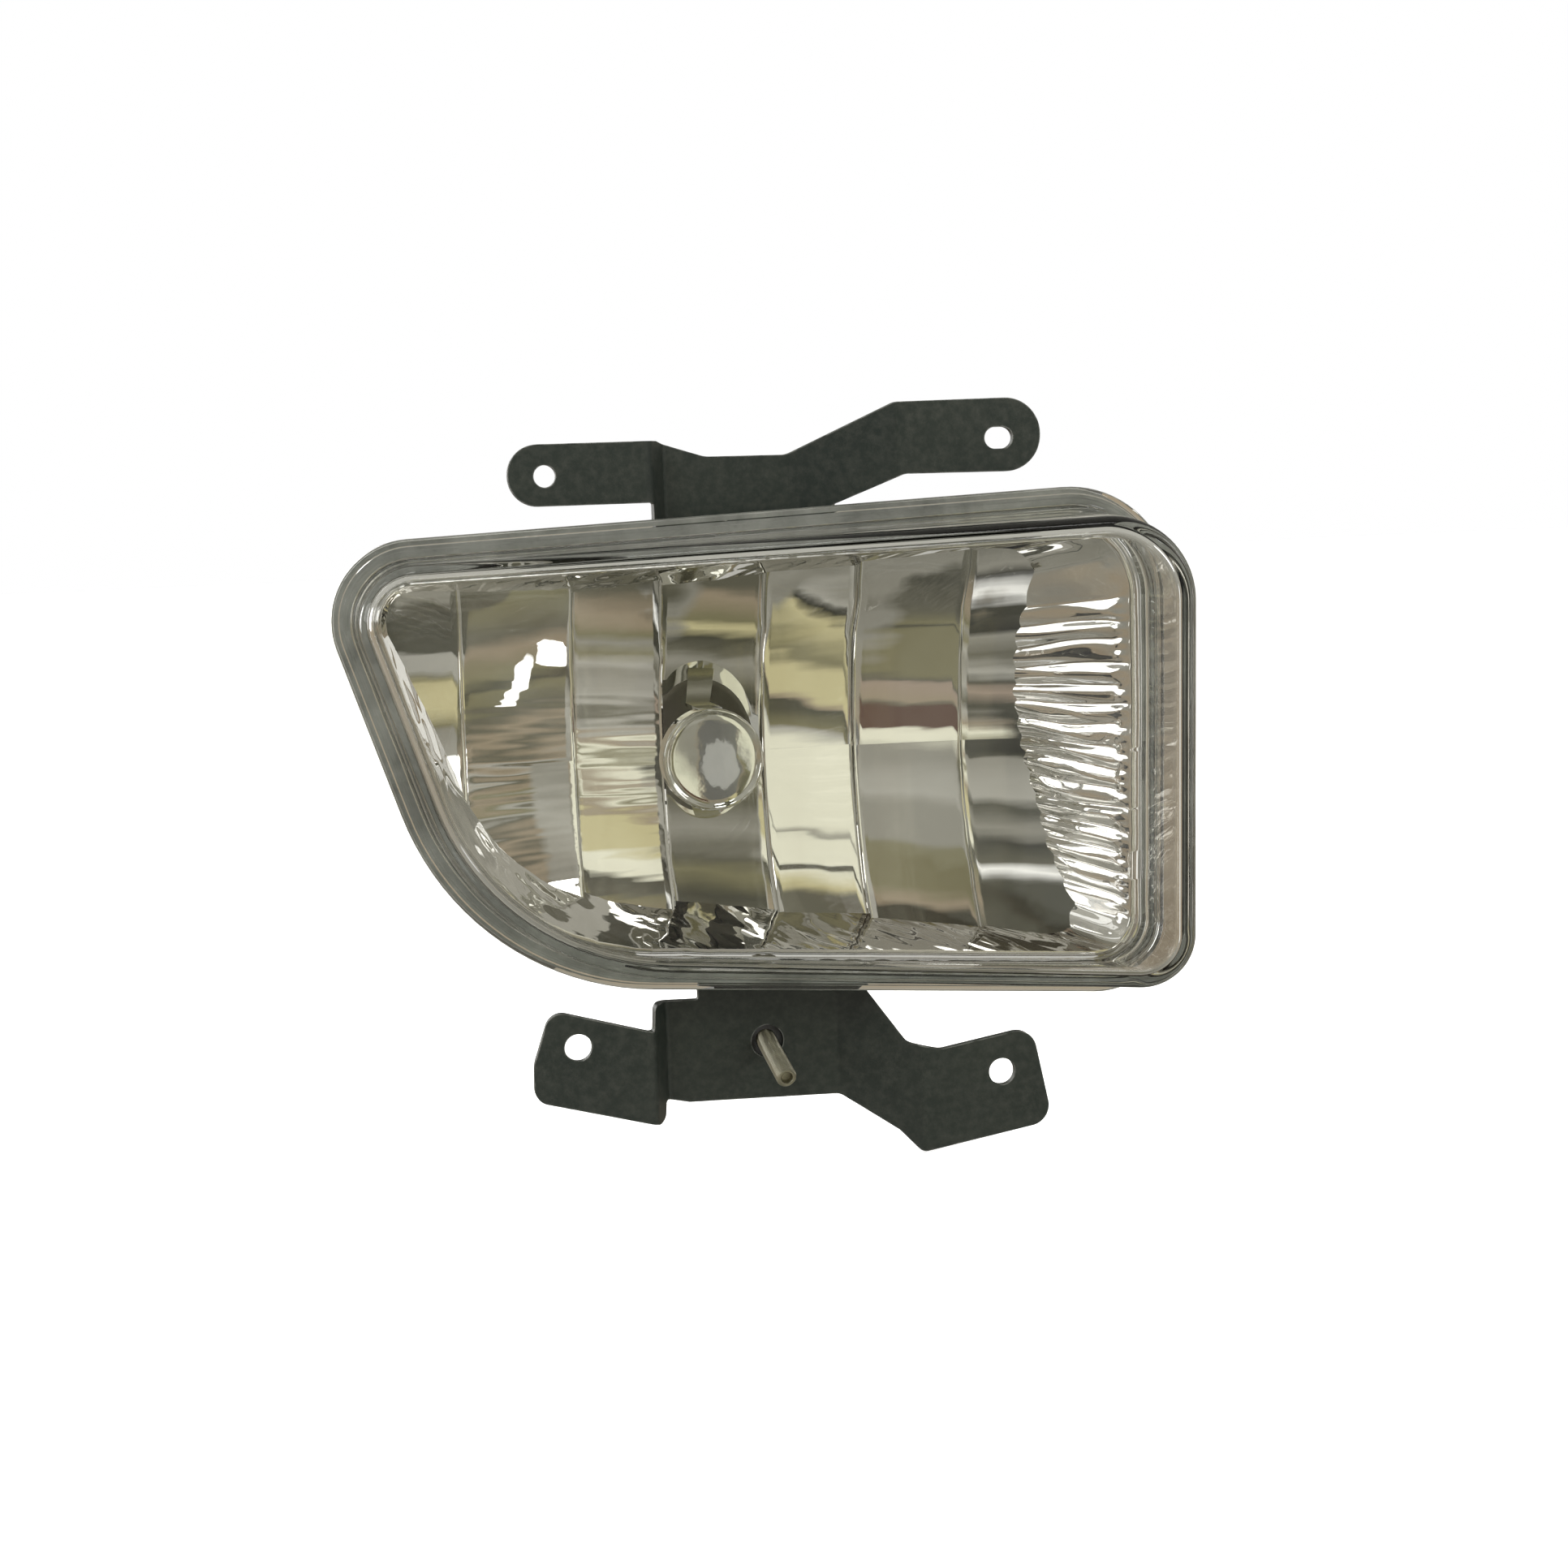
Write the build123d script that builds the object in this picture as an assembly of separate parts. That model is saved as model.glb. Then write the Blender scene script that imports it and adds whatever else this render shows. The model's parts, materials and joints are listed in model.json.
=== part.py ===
from build123d import *
import math
import os

# Fog light, right-hand side. Millimetres. The model is drawn in the lamp's own frame:
# +X to the right seen from the front, +Y rearwards, +Z up, with the bulb axis along Y
# through the origin and y = 0 on the rear face of the lens foot. Each node is moved at
# export, so that the row's origin is midway between the lower bracket's two holes.

# --- Face outline: corners (x, z) of the lens foot, clockwise from upper left ---
FACE_CORNERS = [(-97.0, 55.3), (112.5, 63.5), (109.5, -62.3), (-63.0, -49.0)]
FACE_RADII = [19.0, 26.0, 19.0, 65.0]
LEAST_CORNER = 4.0

# --- Glass lens ---
FOOT_THICK = 4.0
LEDGE = 4.5                 # foot standing proud of the lens wall
LENS_WALL = 3.0
LENS_DRAFT = 2.5            # how much the wall leans in over the full depth
LENS_SHIFT = (1.3, -0.7)    # and how far its outline moves sideways and down
LENS_MAX_DEPTH = 42.0
FRONT_LEFT = (-97.0, -14.5)     # front plane, as (x, y)
FRONT_RIGHT = (107.0, -38.0)
LENS_EDGE_RADIUS = 3.5

# --- Housing ---
SEAL_THICK = 1.2
RIM_THICK = 2.5
RIM_INSET = 1.0
BODY_INSET = 3.5
BODY_DRAFT = 6.0
BODY_WALL = 2.5
BODY_REAR = 51.5
RIB_THICK = 2.0
RIB_HEIGHT = 3.0
COLLAR_RADIUS = 20.0
COLLAR_REAR = 59.0
COLLAR_BORE = 15.0
GROOVE_RADIUS = 17.6
GROOVE_FRONT = 51.7
GROOVE_REAR = 55.0
BREATHER_PLACE = (-34.0, 24.0)
BOSS_DEPTH = 2.5            # screw bosses standing in from the back wall
CAP_SCREW_PLACES = [(-50.0, 6.0), (52.0, 22.0), (52.0, -24.0)]

# --- Reflector ---
MIRROR_WALL = 2.2
MIRROR_RIM_INSET = 9.5
MIRROR_TAPER = 9.4          # how much its top and bottom walls close in at the floor
MIRROR_TAPER_DEPTH = 35.0
MIRROR_DEPTH = 34.0         # floor of the bowl at the bulb axis
COLUMN_EDGES = [-82.0, -59.0, -32.5, -10.3, 15.2, 39.0, 66.4, 84.0]
LEFT_FOCUS = 75.0           # how gently the floor rises to the left
RIGHT_FOCUS = 150.0         # and to the right
HEIGHT_FOCUS = 50.0         # how steeply it rises upwards
FLUTED_END_X = 104.0
MIRROR_HOLE_RADIUS = 9.8

# --- Bulb and shield ---
SHIELD_RADIUS = 12.4
SHIELD_FRONT = 12.5
SHIELD_SKIRT = 7.0
SHIELD_GAUGE = 0.8
SHIELD_LEG_WIDTH = 6.0
GLASS_RADIUS = 6.0
GLASS_TIP = 17.0
HOLDER_RADIUS = 14.8
NECK_RADIUS = 9.0
TAB_RADIUS = 17.2
TAB_FRONT = 52.2
TAB_THICK = 2.4
TWIST = 40.0                # degrees from locked to release

# --- Brackets, pressed from flat steel strip ---
SHEET = 2.0
PLATE_Y = 4.0               # middle of the sheet at the end plates
CENTRE_Y = 13.0             # middle of the sheet behind the lamp's rim
BEND = 2.2

# --- Upper pivot, a bolt along X ---
PIVOT_Y = 25.0
PIVOT_Z = 61.0
PIVOT_X = 14.0
PIN_RADIUS = 2.5
BUSH_RADIUS = 4.0
BUSH_BORE = 2.56
LUG_WIDTH = 24.0
EAR_GAP = 0.4

# --- Aiming screw, leaning down towards the front ---
SCREW_LEAN = 10.0
SCREW_X = 10.2
SCREW_Y = 14.0
SCREW_Z = -69.8
SCREW_RADIUS = 2.5
SCREW_FRONT = 26.0          # from the anchor point forwards to the tip
CUP_AT = 18.0               # middle of the cup's neck, rearwards of the anchor
CUP_RADIUS = 6.5
CUP_NECK = 4.0
CUP_GAP = 4.2               # between the cup's two discs
CUP_DISC = 1.8              # thickness of each disc
CUP_PLAY = 0.1              # end play of the cup between shoulder and rivet
LOWER_LUG_THICK = 3.0

# --- Fixing holes (x, z) ---
LOWER_HOLES = [(-37.3, -66.2), (67.0, -80.1)]
LOWER_HOLE_RADIUS = 3.3
UPPER_HOLE = (-39.0, 69.5)
UPPER_HOLE_RADIUS = 2.6
UPPER_SLOT = (70.9, 74.8)
UPPER_SLOT_LENGTH = 7.0
UPPER_SLOT_WIDTH = 5.2

ROW_ORIGIN = Vector(
    (LOWER_HOLES[0][0] + LOWER_HOLES[1][0]) / 2,
    PLATE_Y + SHEET / 2,
    (LOWER_HOLES[0][1] + LOWER_HOLES[1][1]) / 2,
)


def save(node, *solids):
    """Write one node, moved into the row's frame."""
    shape = solids[0] if len(solids) == 1 else Compound(children=list(solids))
    export_step(Pos(*(-ROW_ORIGIN)) * shape, f"parts/{node}.step")


def front_plane(y):
    """A drawing plane seen from the front: local x is X, local y is Z."""
    return Plane.XZ.offset(-y)


def block(low, high):
    """A box between two corners."""
    size = Vector(*high) - Vector(*low)
    middle = (Vector(*high) + Vector(*low)) * 0.5
    return Pos(*middle) * Box(*size)


def disc(x, z, radius, y_front, y_rear):
    """A round bar along Y between two depths."""
    sketch = front_plane(y_front) * (Pos(x, z) * Circle(radius))
    return extrude(sketch, -(y_rear - y_front))


def face_sketch(inset, y):
    """The lamp's face outline moved inwards by inset, at depth y."""
    corners = []
    radii = []
    count = len(FACE_CORNERS)
    for i in range(count):
        here = Vector(*FACE_CORNERS[i])
        before = (here - Vector(*FACE_CORNERS[i - 1])).normalized()
        after = (Vector(*FACE_CORNERS[(i + 1) % count]) - here).normalized()
        inward = Vector(before.Y, -before.X) + Vector(after.Y, -after.X)
        corner = here + inward * (inset / (1 + before.dot(after)))
        corners.append((corner.X, corner.Y))
        radii.append(max(FACE_RADII[i] - inset, LEAST_CORNER))
    outline = FilletPolyline(*corners, radius=radii, close=True)
    return front_plane(y) * make_face(outline.edges())


def drafted(inset_near, y_near, inset_far, y_far, shift=(0, 0)):
    """A solid with the face outline that narrows, and may shift, from one depth to another."""
    far = Pos(shift[0], 0, shift[1]) * face_sketch(inset_far, y_far)
    return loft([face_sketch(inset_near, y_near), far], ruled=True)


# ---------------------------------------------------------------- glass lens
def ahead_of_front(shift):
    """Everything ahead of the lens's slanting front plane, moved back by shift."""
    slope = (FRONT_RIGHT[1] - FRONT_LEFT[1]) / (FRONT_RIGHT[0] - FRONT_LEFT[0])
    reach = 150.0
    y_left = FRONT_LEFT[1] + slope * (-reach - FRONT_LEFT[0]) + shift
    y_right = FRONT_LEFT[1] + slope * (reach - FRONT_LEFT[0]) + shift
    corners = [(-reach, y_left), (reach, y_right), (reach, -reach), (-reach, -reach)]
    wedge = make_face(Polyline(*corners, close=True).edges())
    return extrude(Plane.XY.offset(-reach / 2) * wedge, reach)


def make_lens():
    wall = drafted(LEDGE, 0, LEDGE + LENS_DRAFT, -LENS_MAX_DEPTH, LENS_SHIFT) - ahead_of_front(0)
    front = wall.faces().sort_by(Axis.Y)[0]
    wall = fillet(front.edges(), LENS_EDGE_RADIUS)
    inner = LEDGE + LENS_WALL
    hollow = drafted(inner, 0, inner + LENS_DRAFT, -LENS_MAX_DEPTH, LENS_SHIFT)
    hollow -= ahead_of_front(LENS_WALL)
    foot = extrude(face_sketch(0, 0), FOOT_THICK)
    foot = fillet(foot.faces().sort_by(Axis.Y)[0].edges(), 1.0)
    return foot + wall - hollow


def make_seal():
    ring = extrude(face_sketch(RIM_INSET, SEAL_THICK), SEAL_THICK)
    opening = extrude(face_sketch(LEDGE + 1.0, SEAL_THICK), SEAL_THICK)
    return ring - opening


# ---------------------------------------------------------------- housing
def pivot_lug():
    """Block on the housing's roof that carries the bush."""
    half = LUG_WIDTH / 2
    base = block((PIVOT_X - half, PIVOT_Y - 5.5, 48), (PIVOT_X + half, PIVOT_Y + 5.5, PIVOT_Z))
    barrel = Pos(PIVOT_X, PIVOT_Y, PIVOT_Z) * Rot(0, 90, 0) * Cylinder(5.5, LUG_WIDTH)
    bore = Pos(PIVOT_X, PIVOT_Y, PIVOT_Z) * Rot(0, 90, 0) * Cylinder(BUSH_RADIUS, LUG_WIDTH)
    return base + barrel - bore


def screw_point(distance):
    """A point on the aiming screw's axis, at a distance rearwards of its anchor."""
    lean = math.radians(SCREW_LEAN)
    return Vector(SCREW_X, SCREW_Y + distance * math.cos(lean), SCREW_Z + distance * math.sin(lean))


def lower_lug():
    """Notched plate under the housing that the screw's cup sits in, square to the screw."""
    half = 10.0
    thick = LOWER_LUG_THICK / 2
    notch_half = CUP_NECK + 0.35
    top = 1.3
    plate = block((-half, -thick, -8), (half, thick, 24))
    for side in (-1, 1):
        low, high = sorted((side * half, side * (half - 2.5)))
        plate += block((low, thick, 12), (high, 16, 24))
    plate -= block((-notch_half, -thick, -9), (notch_half, thick, top))
    plate -= disc(0, top, notch_half, -thick, thick)
    return Pos(*screw_point(CUP_AT)) * Rot(SCREW_LEAN, 0, 0) * plate


def rear_ribs():
    """Two crossing stiffening ribs on the housing's back."""
    half = RIB_THICK / 2
    along = block((-62, BODY_REAR - 1, -half), (88, BODY_REAR + RIB_HEIGHT, half))
    upright = block((-half, BODY_REAR - 1, -34), (half, BODY_REAR + RIB_HEIGHT, 43))
    return along + upright


def make_housing():
    rim_front = SEAL_THICK
    rim_rear = rim_front + RIM_THICK
    rim = extrude(face_sketch(RIM_INSET, rim_rear), RIM_THICK)
    body = drafted(BODY_INSET, rim_front, BODY_INSET + BODY_DRAFT, BODY_REAR)
    body = fillet(body.faces().sort_by(Axis.Y)[-1].edges(), 6.0)
    inside = BODY_INSET + BODY_WALL
    hollow = drafted(inside, rim_front, inside + BODY_DRAFT, BODY_REAR - BODY_WALL)
    collar = disc(0, 0, COLLAR_RADIUS, BODY_REAR - 1, COLLAR_REAR)
    shell = rim + body + collar + rear_ribs() + pivot_lug() + lower_lug() - hollow
    for x, z in CAP_SCREW_PLACES:
        shell += disc(x, z, 4.0, BODY_REAR - BODY_WALL - BOSS_DEPTH, BODY_REAR)
        shell -= disc(x, z, 2.2, BODY_REAR - BODY_WALL - BOSS_DEPTH, BODY_REAR)
    shell += disc(*BREATHER_PLACE, 3.5, BODY_REAR, BODY_REAR + 6)
    shell -= disc(*BREATHER_PLACE, 1.8, BODY_REAR - BODY_WALL, BODY_REAR + 6)
    shell -= disc(0, 0, COLLAR_BORE, BODY_REAR - BODY_WALL, COLLAR_REAR)
    shell -= disc(0, 0, GROOVE_RADIUS, GROOVE_FRONT, GROOVE_REAR)
    for turn in (0, 120, 240):
        shell -= Rot(0, turn + TWIST, 0) * block((-5.2, GROOVE_FRONT, 0), (5.2, COLLAR_REAR, GROOVE_RADIUS))
    return shell


def make_breather():
    cap = disc(*BREATHER_PLACE, 6.0, BODY_REAR + 2, BODY_REAR + 9)
    cap -= disc(*BREATHER_PLACE, 3.5, BODY_REAR + 2, BODY_REAR + 6)
    return fillet(cap.faces().sort_by(Axis.Y)[-1].edges(), 1.5)


# ---------------------------------------------------------------- reflector
def floor_depth(x):
    """Depth of the reflector's floor on its centre line."""
    focus = LEFT_FOCUS if x < 0 else RIGHT_FOCUS
    return MIRROR_DEPTH - x * x / (4 * focus)


def column_cavity(x_left, x_right, extra):
    """Space in front of one facet column, grown by extra towards the floor."""
    middle = floor_depth((x_left + x_right) / 2) + extra
    height = 62.0
    edge = middle - height * height / (4 * HEIGHT_FOCUS)
    bow = middle - (height / 2) ** 2 / (4 * HEIGHT_FOCUS)
    curve = Spline((edge, -height), (bow, -height / 2), (middle, 0), (bow, height / 2), (edge, height))
    front = Polyline((edge, height), (-14, height), (-14, -height), (edge, -height))
    sketch = make_face(curve.edges() + front.edges())
    return extrude(Plane.YZ.offset(x_left - extra) * sketch, x_right - x_left + 2 * extra)


def fluted_cavity(extra):
    """Space in front of the sloping wall at the lamp's outer end."""
    inner_x = COLUMN_EDGES[-1]
    corners = [
        (inner_x - 1, -3),
        (FLUTED_END_X + extra, -3),
        (FLUTED_END_X + extra, 0.5 + extra),
        (inner_x + extra, floor_depth(inner_x) + extra),
        (inner_x - 1, floor_depth(inner_x) + extra),
    ]
    height = 62.0
    sketch = make_face(Polyline(*corners, close=True).edges())
    return extrude(Plane.XY.offset(-height) * sketch, 2 * height)


def mirror_bowl(extra):
    """The reflector's cavity grown outwards by extra on every side."""
    columns = fluted_cavity(extra)
    for x_left, x_right in zip(COLUMN_EDGES[:-1], COLUMN_EDGES[1:]):
        columns += column_cavity(x_left, x_right, extra)
    rim = MIRROR_RIM_INSET - extra
    slope = MIRROR_TAPER / MIRROR_TAPER_DEPTH
    envelope = drafted(rim - slope * 3, -3, rim + slope * 48, 48)
    return columns & envelope


def make_reflector():
    front_trim = block((-150, -10, -100), (150, 0, 100))
    shell = mirror_bowl(MIRROR_WALL) - mirror_bowl(0) - front_trim
    shell -= disc(0, 0, MIRROR_HOLE_RADIUS, 0, 60)
    for side in (-1, 1):
        z = side * (SHIELD_RADIUS - SHIELD_GAUGE / 2)
        half = SHIELD_LEG_WIDTH / 2 + 0.2
        shell -= block((-half, MIRROR_DEPTH - 6, z - 0.7), (half, MIRROR_DEPTH + 6, z + 0.7))
    for x, z in CAP_SCREW_PLACES:
        behind = floor_depth(x) - z * z / (4 * HEIGHT_FOCUS) + 1.0
        boss = BODY_REAR - BODY_WALL - BOSS_DEPTH
        shell += disc(x, z, 3.2, behind, boss)
        shell -= disc(x, z, 1.4, boss - 8, boss)
    return shell


def make_reflector_screws():
    screws = []
    for x, z in CAP_SCREW_PLACES:
        shank = disc(x, z, 1.4, BODY_REAR - BODY_WALL - BOSS_DEPTH - 7, BODY_REAR)
        head = disc(x, z, 3.6, BODY_REAR, BODY_REAR + 2.2)
        head = fillet(head.faces().sort_by(Axis.Y)[-1].edges(), 0.8)
        cross = block((x - 2, BODY_REAR + 1.2, z - 0.4), (x + 2, BODY_REAR + 3, z + 0.4))
        cross += block((x - 0.4, BODY_REAR + 1.2, z - 2), (x + 0.4, BODY_REAR + 3, z + 2))
        screws.append(shank + head - cross)
    return screws


# ---------------------------------------------------------------- bulb shield
def make_shield():
    cup = disc(0, 0, SHIELD_RADIUS, SHIELD_FRONT, SHIELD_FRONT + SHIELD_SKIRT)
    cup = fillet(cup.faces().sort_by(Axis.Y)[0].edges(), 1.6)
    inner = disc(0, 0, SHIELD_RADIUS - SHIELD_GAUGE, SHIELD_FRONT + SHIELD_GAUGE, SHIELD_FRONT + SHIELD_SKIRT)
    shield = cup - inner
    half = SHIELD_LEG_WIDTH / 2
    behind = MIRROR_DEPTH + MIRROR_WALL
    for side in (-1, 1):
        outer = side * SHIELD_RADIUS
        inner_z = side * (SHIELD_RADIUS - SHIELD_GAUGE)
        foot = side * (SHIELD_RADIUS + 5)
        low, high = sorted((outer, inner_z))
        shield += block((-half, SHIELD_FRONT + 3, low), (half, behind + SHIELD_GAUGE, high))
        low, high = sorted((inner_z, foot))
        shield += block((-half, behind, low), (half, behind + SHIELD_GAUGE, high))
    return shield


# ---------------------------------------------------------------- bulb
def make_glass():
    envelope = disc(0, 0, GLASS_RADIUS, GLASS_TIP, 44)
    envelope = fillet(envelope.faces().sort_by(Axis.Y)[0].edges(), 4.5)
    void = disc(0, 0, GLASS_RADIUS - 1, GLASS_TIP + 1.5, 41)
    void = fillet(void.faces().sort_by(Axis.Y)[0].edges(), 3.5)
    return envelope - void


def make_filament():
    """Coil, shown as its outer sleeve, lying along the optical axis."""
    return disc(0, 0, 0.8, 24, 30)


def make_filament_supports():
    supports = []
    for side in (-1, 1):
        x = side * 2.2
        y_tip = 24.6 if side < 0 else 29.4
        wire = disc(x, 0, 0.35, y_tip, 41)
        low, high = sorted((x, side * 0.8))
        wire += block((low, y_tip, -0.35), (high, y_tip + 0.7, 0.35))
        supports.append(wire)
    return supports


def make_bulb_base():
    base = disc(0, 0, 8.2, 41.5, 47)
    base -= disc(0, 0, GLASS_RADIUS, 41.5, 44)
    return base


def bayonet_tab(turn):
    """One locking ear on the bulb's holder."""
    ear = block((-4.6, TAB_FRONT, 10), (4.6, TAB_FRONT + TAB_THICK, 20))
    return Rot(0, turn, 0) * (ear & disc(0, 0, TAB_RADIUS, TAB_FRONT, TAB_FRONT + TAB_THICK))


def make_holder():
    neck = disc(0, 0, NECK_RADIUS, 44.5, 51)
    neck -= disc(0, 0, 8.2, 44.5, 47)
    drum = disc(0, 0, HOLDER_RADIUS, 50, 60.5)
    groove = disc(0, 0, HOLDER_RADIUS, 56.2, 58.8) - disc(0, 0, HOLDER_RADIUS - 2.2, 56.2, 58.8)
    cap = disc(0, 0, 18.5, 59.5, 63)
    cap = fillet(cap.faces().sort_by(Axis.Y)[-1].edges(), 1.0)
    holder = neck + drum - groove + cap
    for turn in (0, 120, 240):
        holder += bayonet_tab(turn)
    shroud = block((-9.5, 62, -7.5), (9.5, 79, 7.5))
    shroud = fillet(shroud.edges().filter_by(Axis.Y), 2.0)
    socket = block((-7.5, 65, -5.5), (7.5, 79, 5.5))
    key = block((-2.5, 66, 7.5), (2.5, 77, 9.3))
    ribs = block((-12, 62.5, -1), (12, 74, 1)) - block((-9, 62, -2), (9, 80, 2))
    holder += shroud + key + ribs
    holder -= socket
    for blade in make_terminals():
        holder -= blade
    return holder


def make_bulb_seal():
    ring = disc(0, 0, COLLAR_BORE - 0.05, 56.4, 58.6)
    return ring - disc(0, 0, HOLDER_RADIUS - 2.2, 56.4, 58.6)


def make_terminals():
    blades = []
    for side in (-1, 1):
        x = side * 4.6
        blades.append(block((x - 0.4, 60, -2.4), (x + 0.4, 76, 2.4)))
    return blades


# ---------------------------------------------------------------- brackets
def ribbon(points, z_low, z_high):
    """Strip of sheet that follows a plan-view path, between two heights."""
    path = FilletPolyline(*points, radius=BEND)
    strip = trace(path, SHEET)
    return extrude(Plane.XY.offset(z_low) * strip, z_high - z_low)


def blank(points, radii):
    """Front outline of a bracket, thick enough to cut any ribbon to shape."""
    outline = FilletPolyline(*points, radius=radii, close=True)
    return extrude(front_plane(-10) * make_face(outline.edges()), -50)


def make_upper_bracket():
    plan = [
        (-60, PLATE_Y),
        (-14.5, PLATE_Y),
        (-10.2, CENTRE_Y),
        (21, CENTRE_Y),
        (46, PLATE_Y),
        (95, PLATE_Y),
    ]
    points = [
        (-47.7, 62.5),
        (-47.7, 77.0),
        (-11.8, 76.9),
        (0.5, 72.9),
        (20.5, 72.7),
        (45.5, 84.2),
        (81.3, 84.4),
        (81.3, 66.6),
        (47.4, 67.0),
        (29.5, 59.8),
        (29.5, 57.0),
        (-13.4, 57.0),
        (-13.4, 62.4),
    ]
    radii = [7.1, 7.1, 0.8, 8, 6, 3, 8.7, 8.7, 5, 2, 0.5, 0.5, 0.5]
    sheet = ribbon(plan, 50, 95) & blank(points, radii)
    sheet -= disc(*UPPER_HOLE, UPPER_HOLE_RADIUS, 0, 10)
    slot = Pos(*UPPER_SLOT) * SlotOverall(UPPER_SLOT_LENGTH, UPPER_SLOT_WIDTH)
    return sheet - extrude(front_plane(0) * slot, -10)


def make_lower_bracket():
    plan = [
        (-60, PLATE_Y),
        (-19.6, PLATE_Y),
        (-15.2, CENTRE_Y),
        (28, CENTRE_Y),
        (47, PLATE_Y),
        (95, PLATE_Y),
    ]
    points = [
        (-43.6, -56.8),
        (-18.8, -64.0),
        (-18.2, -58.0),
        (-6.5, -58.3),
        (-6.5, -53.5),
        (31.5, -53.5),
        (43.7, -71.4),
        (51.6, -73.4),
        (75.0, -69.6),
        (79.6, -93.4),
        (46.4, -98.7),
        (41.3, -93.2),
        (27.9, -84.3),
        (-9.7, -83.5),
        (-15.6, -82.2),
        (-16.2, -87.4),
        (-48.3, -78.6),
        (-48.0, -69.5),
    ]
    radii = [4, 0.5, 1.2, 0.5, 0.5, 0.5, 4, 5, 5, 5, 2.5, 1.5, 4, 4, 0.6, 2, 4, 8]
    sheet = ribbon(plan, -105, -50) & blank(points, radii)
    for x, z in LOWER_HOLES:
        sheet -= disc(x, z, LOWER_HOLE_RADIUS, 0, 10)
    return sheet - disc(SCREW_X, SCREW_Z, 4.0, 8, 18)


def make_yoke():
    """U-shaped fork welded behind the upper bracket."""
    half = LUG_WIDTH / 2 + EAR_GAP
    front = CENTRE_Y + SHEET / 2
    low = PIVOT_Z - 4.5
    fork = block((PIVOT_X - half - SHEET, front, low), (PIVOT_X + half + SHEET, front + SHEET, 70))
    for side in (-1, 1):
        x_low, x_high = sorted((PIVOT_X + side * half, PIVOT_X + side * (half + SHEET)))
        ear = block((x_low, front, low), (x_high, PIVOT_Y, 66))
        tip = Pos((x_low + x_high) / 2, PIVOT_Y, PIVOT_Z) * Rot(0, 90, 0) * Cylinder(4.5, SHEET)
        top = block((x_low, front, 64), (x_high, PIVOT_Y - 3, 70))
        fork += ear + tip + top
        fork -= Pos((x_low + x_high) / 2, PIVOT_Y, PIVOT_Z) * Rot(0, 90, 0) * Cylinder(2.6, SHEET)
    return fork


def pivot_bar(radius, x_low, x_high):
    """Round bar along the pivot axis."""
    centre = Pos((x_low + x_high) / 2, PIVOT_Y, PIVOT_Z)
    return centre * Rot(0, 90, 0) * Cylinder(radius, x_high - x_low)


def fork_faces():
    """X of the fork's two outer faces."""
    half = LUG_WIDTH / 2 + EAR_GAP + SHEET
    return PIVOT_X - half, PIVOT_X + half


def make_pivot_pin():
    left, right = fork_faces()
    head = pivot_bar(4.6, left - 2.8, left)
    head = fillet(head.faces().sort_by(Axis.X)[0].edges(), 1.2)
    return head + pivot_bar(PIN_RADIUS, left, right + 6)


def make_pivot_nut():
    _, right = fork_faces()
    hexagon = RegularPolygon(8 / math.sqrt(3), 6)
    nut = extrude(Plane.YZ.offset(right) * (Pos(PIVOT_Y, PIVOT_Z) * hexagon), 4)
    return nut - pivot_bar(PIN_RADIUS, right, right + 4)


def make_bush():
    left, right = PIVOT_X - LUG_WIDTH / 2, PIVOT_X + LUG_WIDTH / 2
    return pivot_bar(BUSH_RADIUS, left, right) - pivot_bar(BUSH_BORE, left, right)


# ---------------------------------------------------------------- aiming screw
def screw_bar(radius, start, end):
    """Round bar on the screw's axis between two distances from its anchor."""
    middle = screw_point((start + end) / 2)
    return Pos(*middle) * Rot(SCREW_LEAN - 90, 0, 0) * Cylinder(radius, end - start)


def make_aim_nut():
    front = CENTRE_Y + SHEET / 2
    body = block((SCREW_X - 6.5, front, SCREW_Z - 6), (SCREW_X + 6.5, front + 5, SCREW_Z + 7))
    body = fillet(body.edges().filter_by(Axis.Y), 1.5)
    return body - screw_bar(SCREW_RADIUS + 0.06, -10, 20)


def make_aim_screw():
    cup_half = CUP_GAP / 2 + CUP_DISC
    shank = screw_bar(SCREW_RADIUS, -SCREW_FRONT, CUP_AT + cup_half + 1.5)
    shoulder = screw_bar(4.0, CUP_AT - cup_half - 1.4, CUP_AT - cup_half - CUP_PLAY)
    rivet = screw_bar(3.6, CUP_AT + cup_half + CUP_PLAY, CUP_AT + cup_half + 1.5)
    recess = screw_bar(1.3, -SCREW_FRONT, -SCREW_FRONT + 2)
    screw = shank + shoulder + rivet
    tip = screw.faces().sort_by(Axis.Y)[0]
    screw = chamfer(tip.edges(), 0.5)
    return screw - recess


def make_cup():
    half = CUP_GAP / 2
    cup = screw_bar(CUP_NECK, CUP_AT - half - CUP_DISC, CUP_AT + half + CUP_DISC)
    cup += screw_bar(CUP_RADIUS, CUP_AT - half - CUP_DISC, CUP_AT - half)
    cup += screw_bar(CUP_RADIUS, CUP_AT + half, CUP_AT + half + CUP_DISC)
    return cup - screw_bar(SCREW_RADIUS + 0.06, CUP_AT - 6, CUP_AT + 6)


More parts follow.
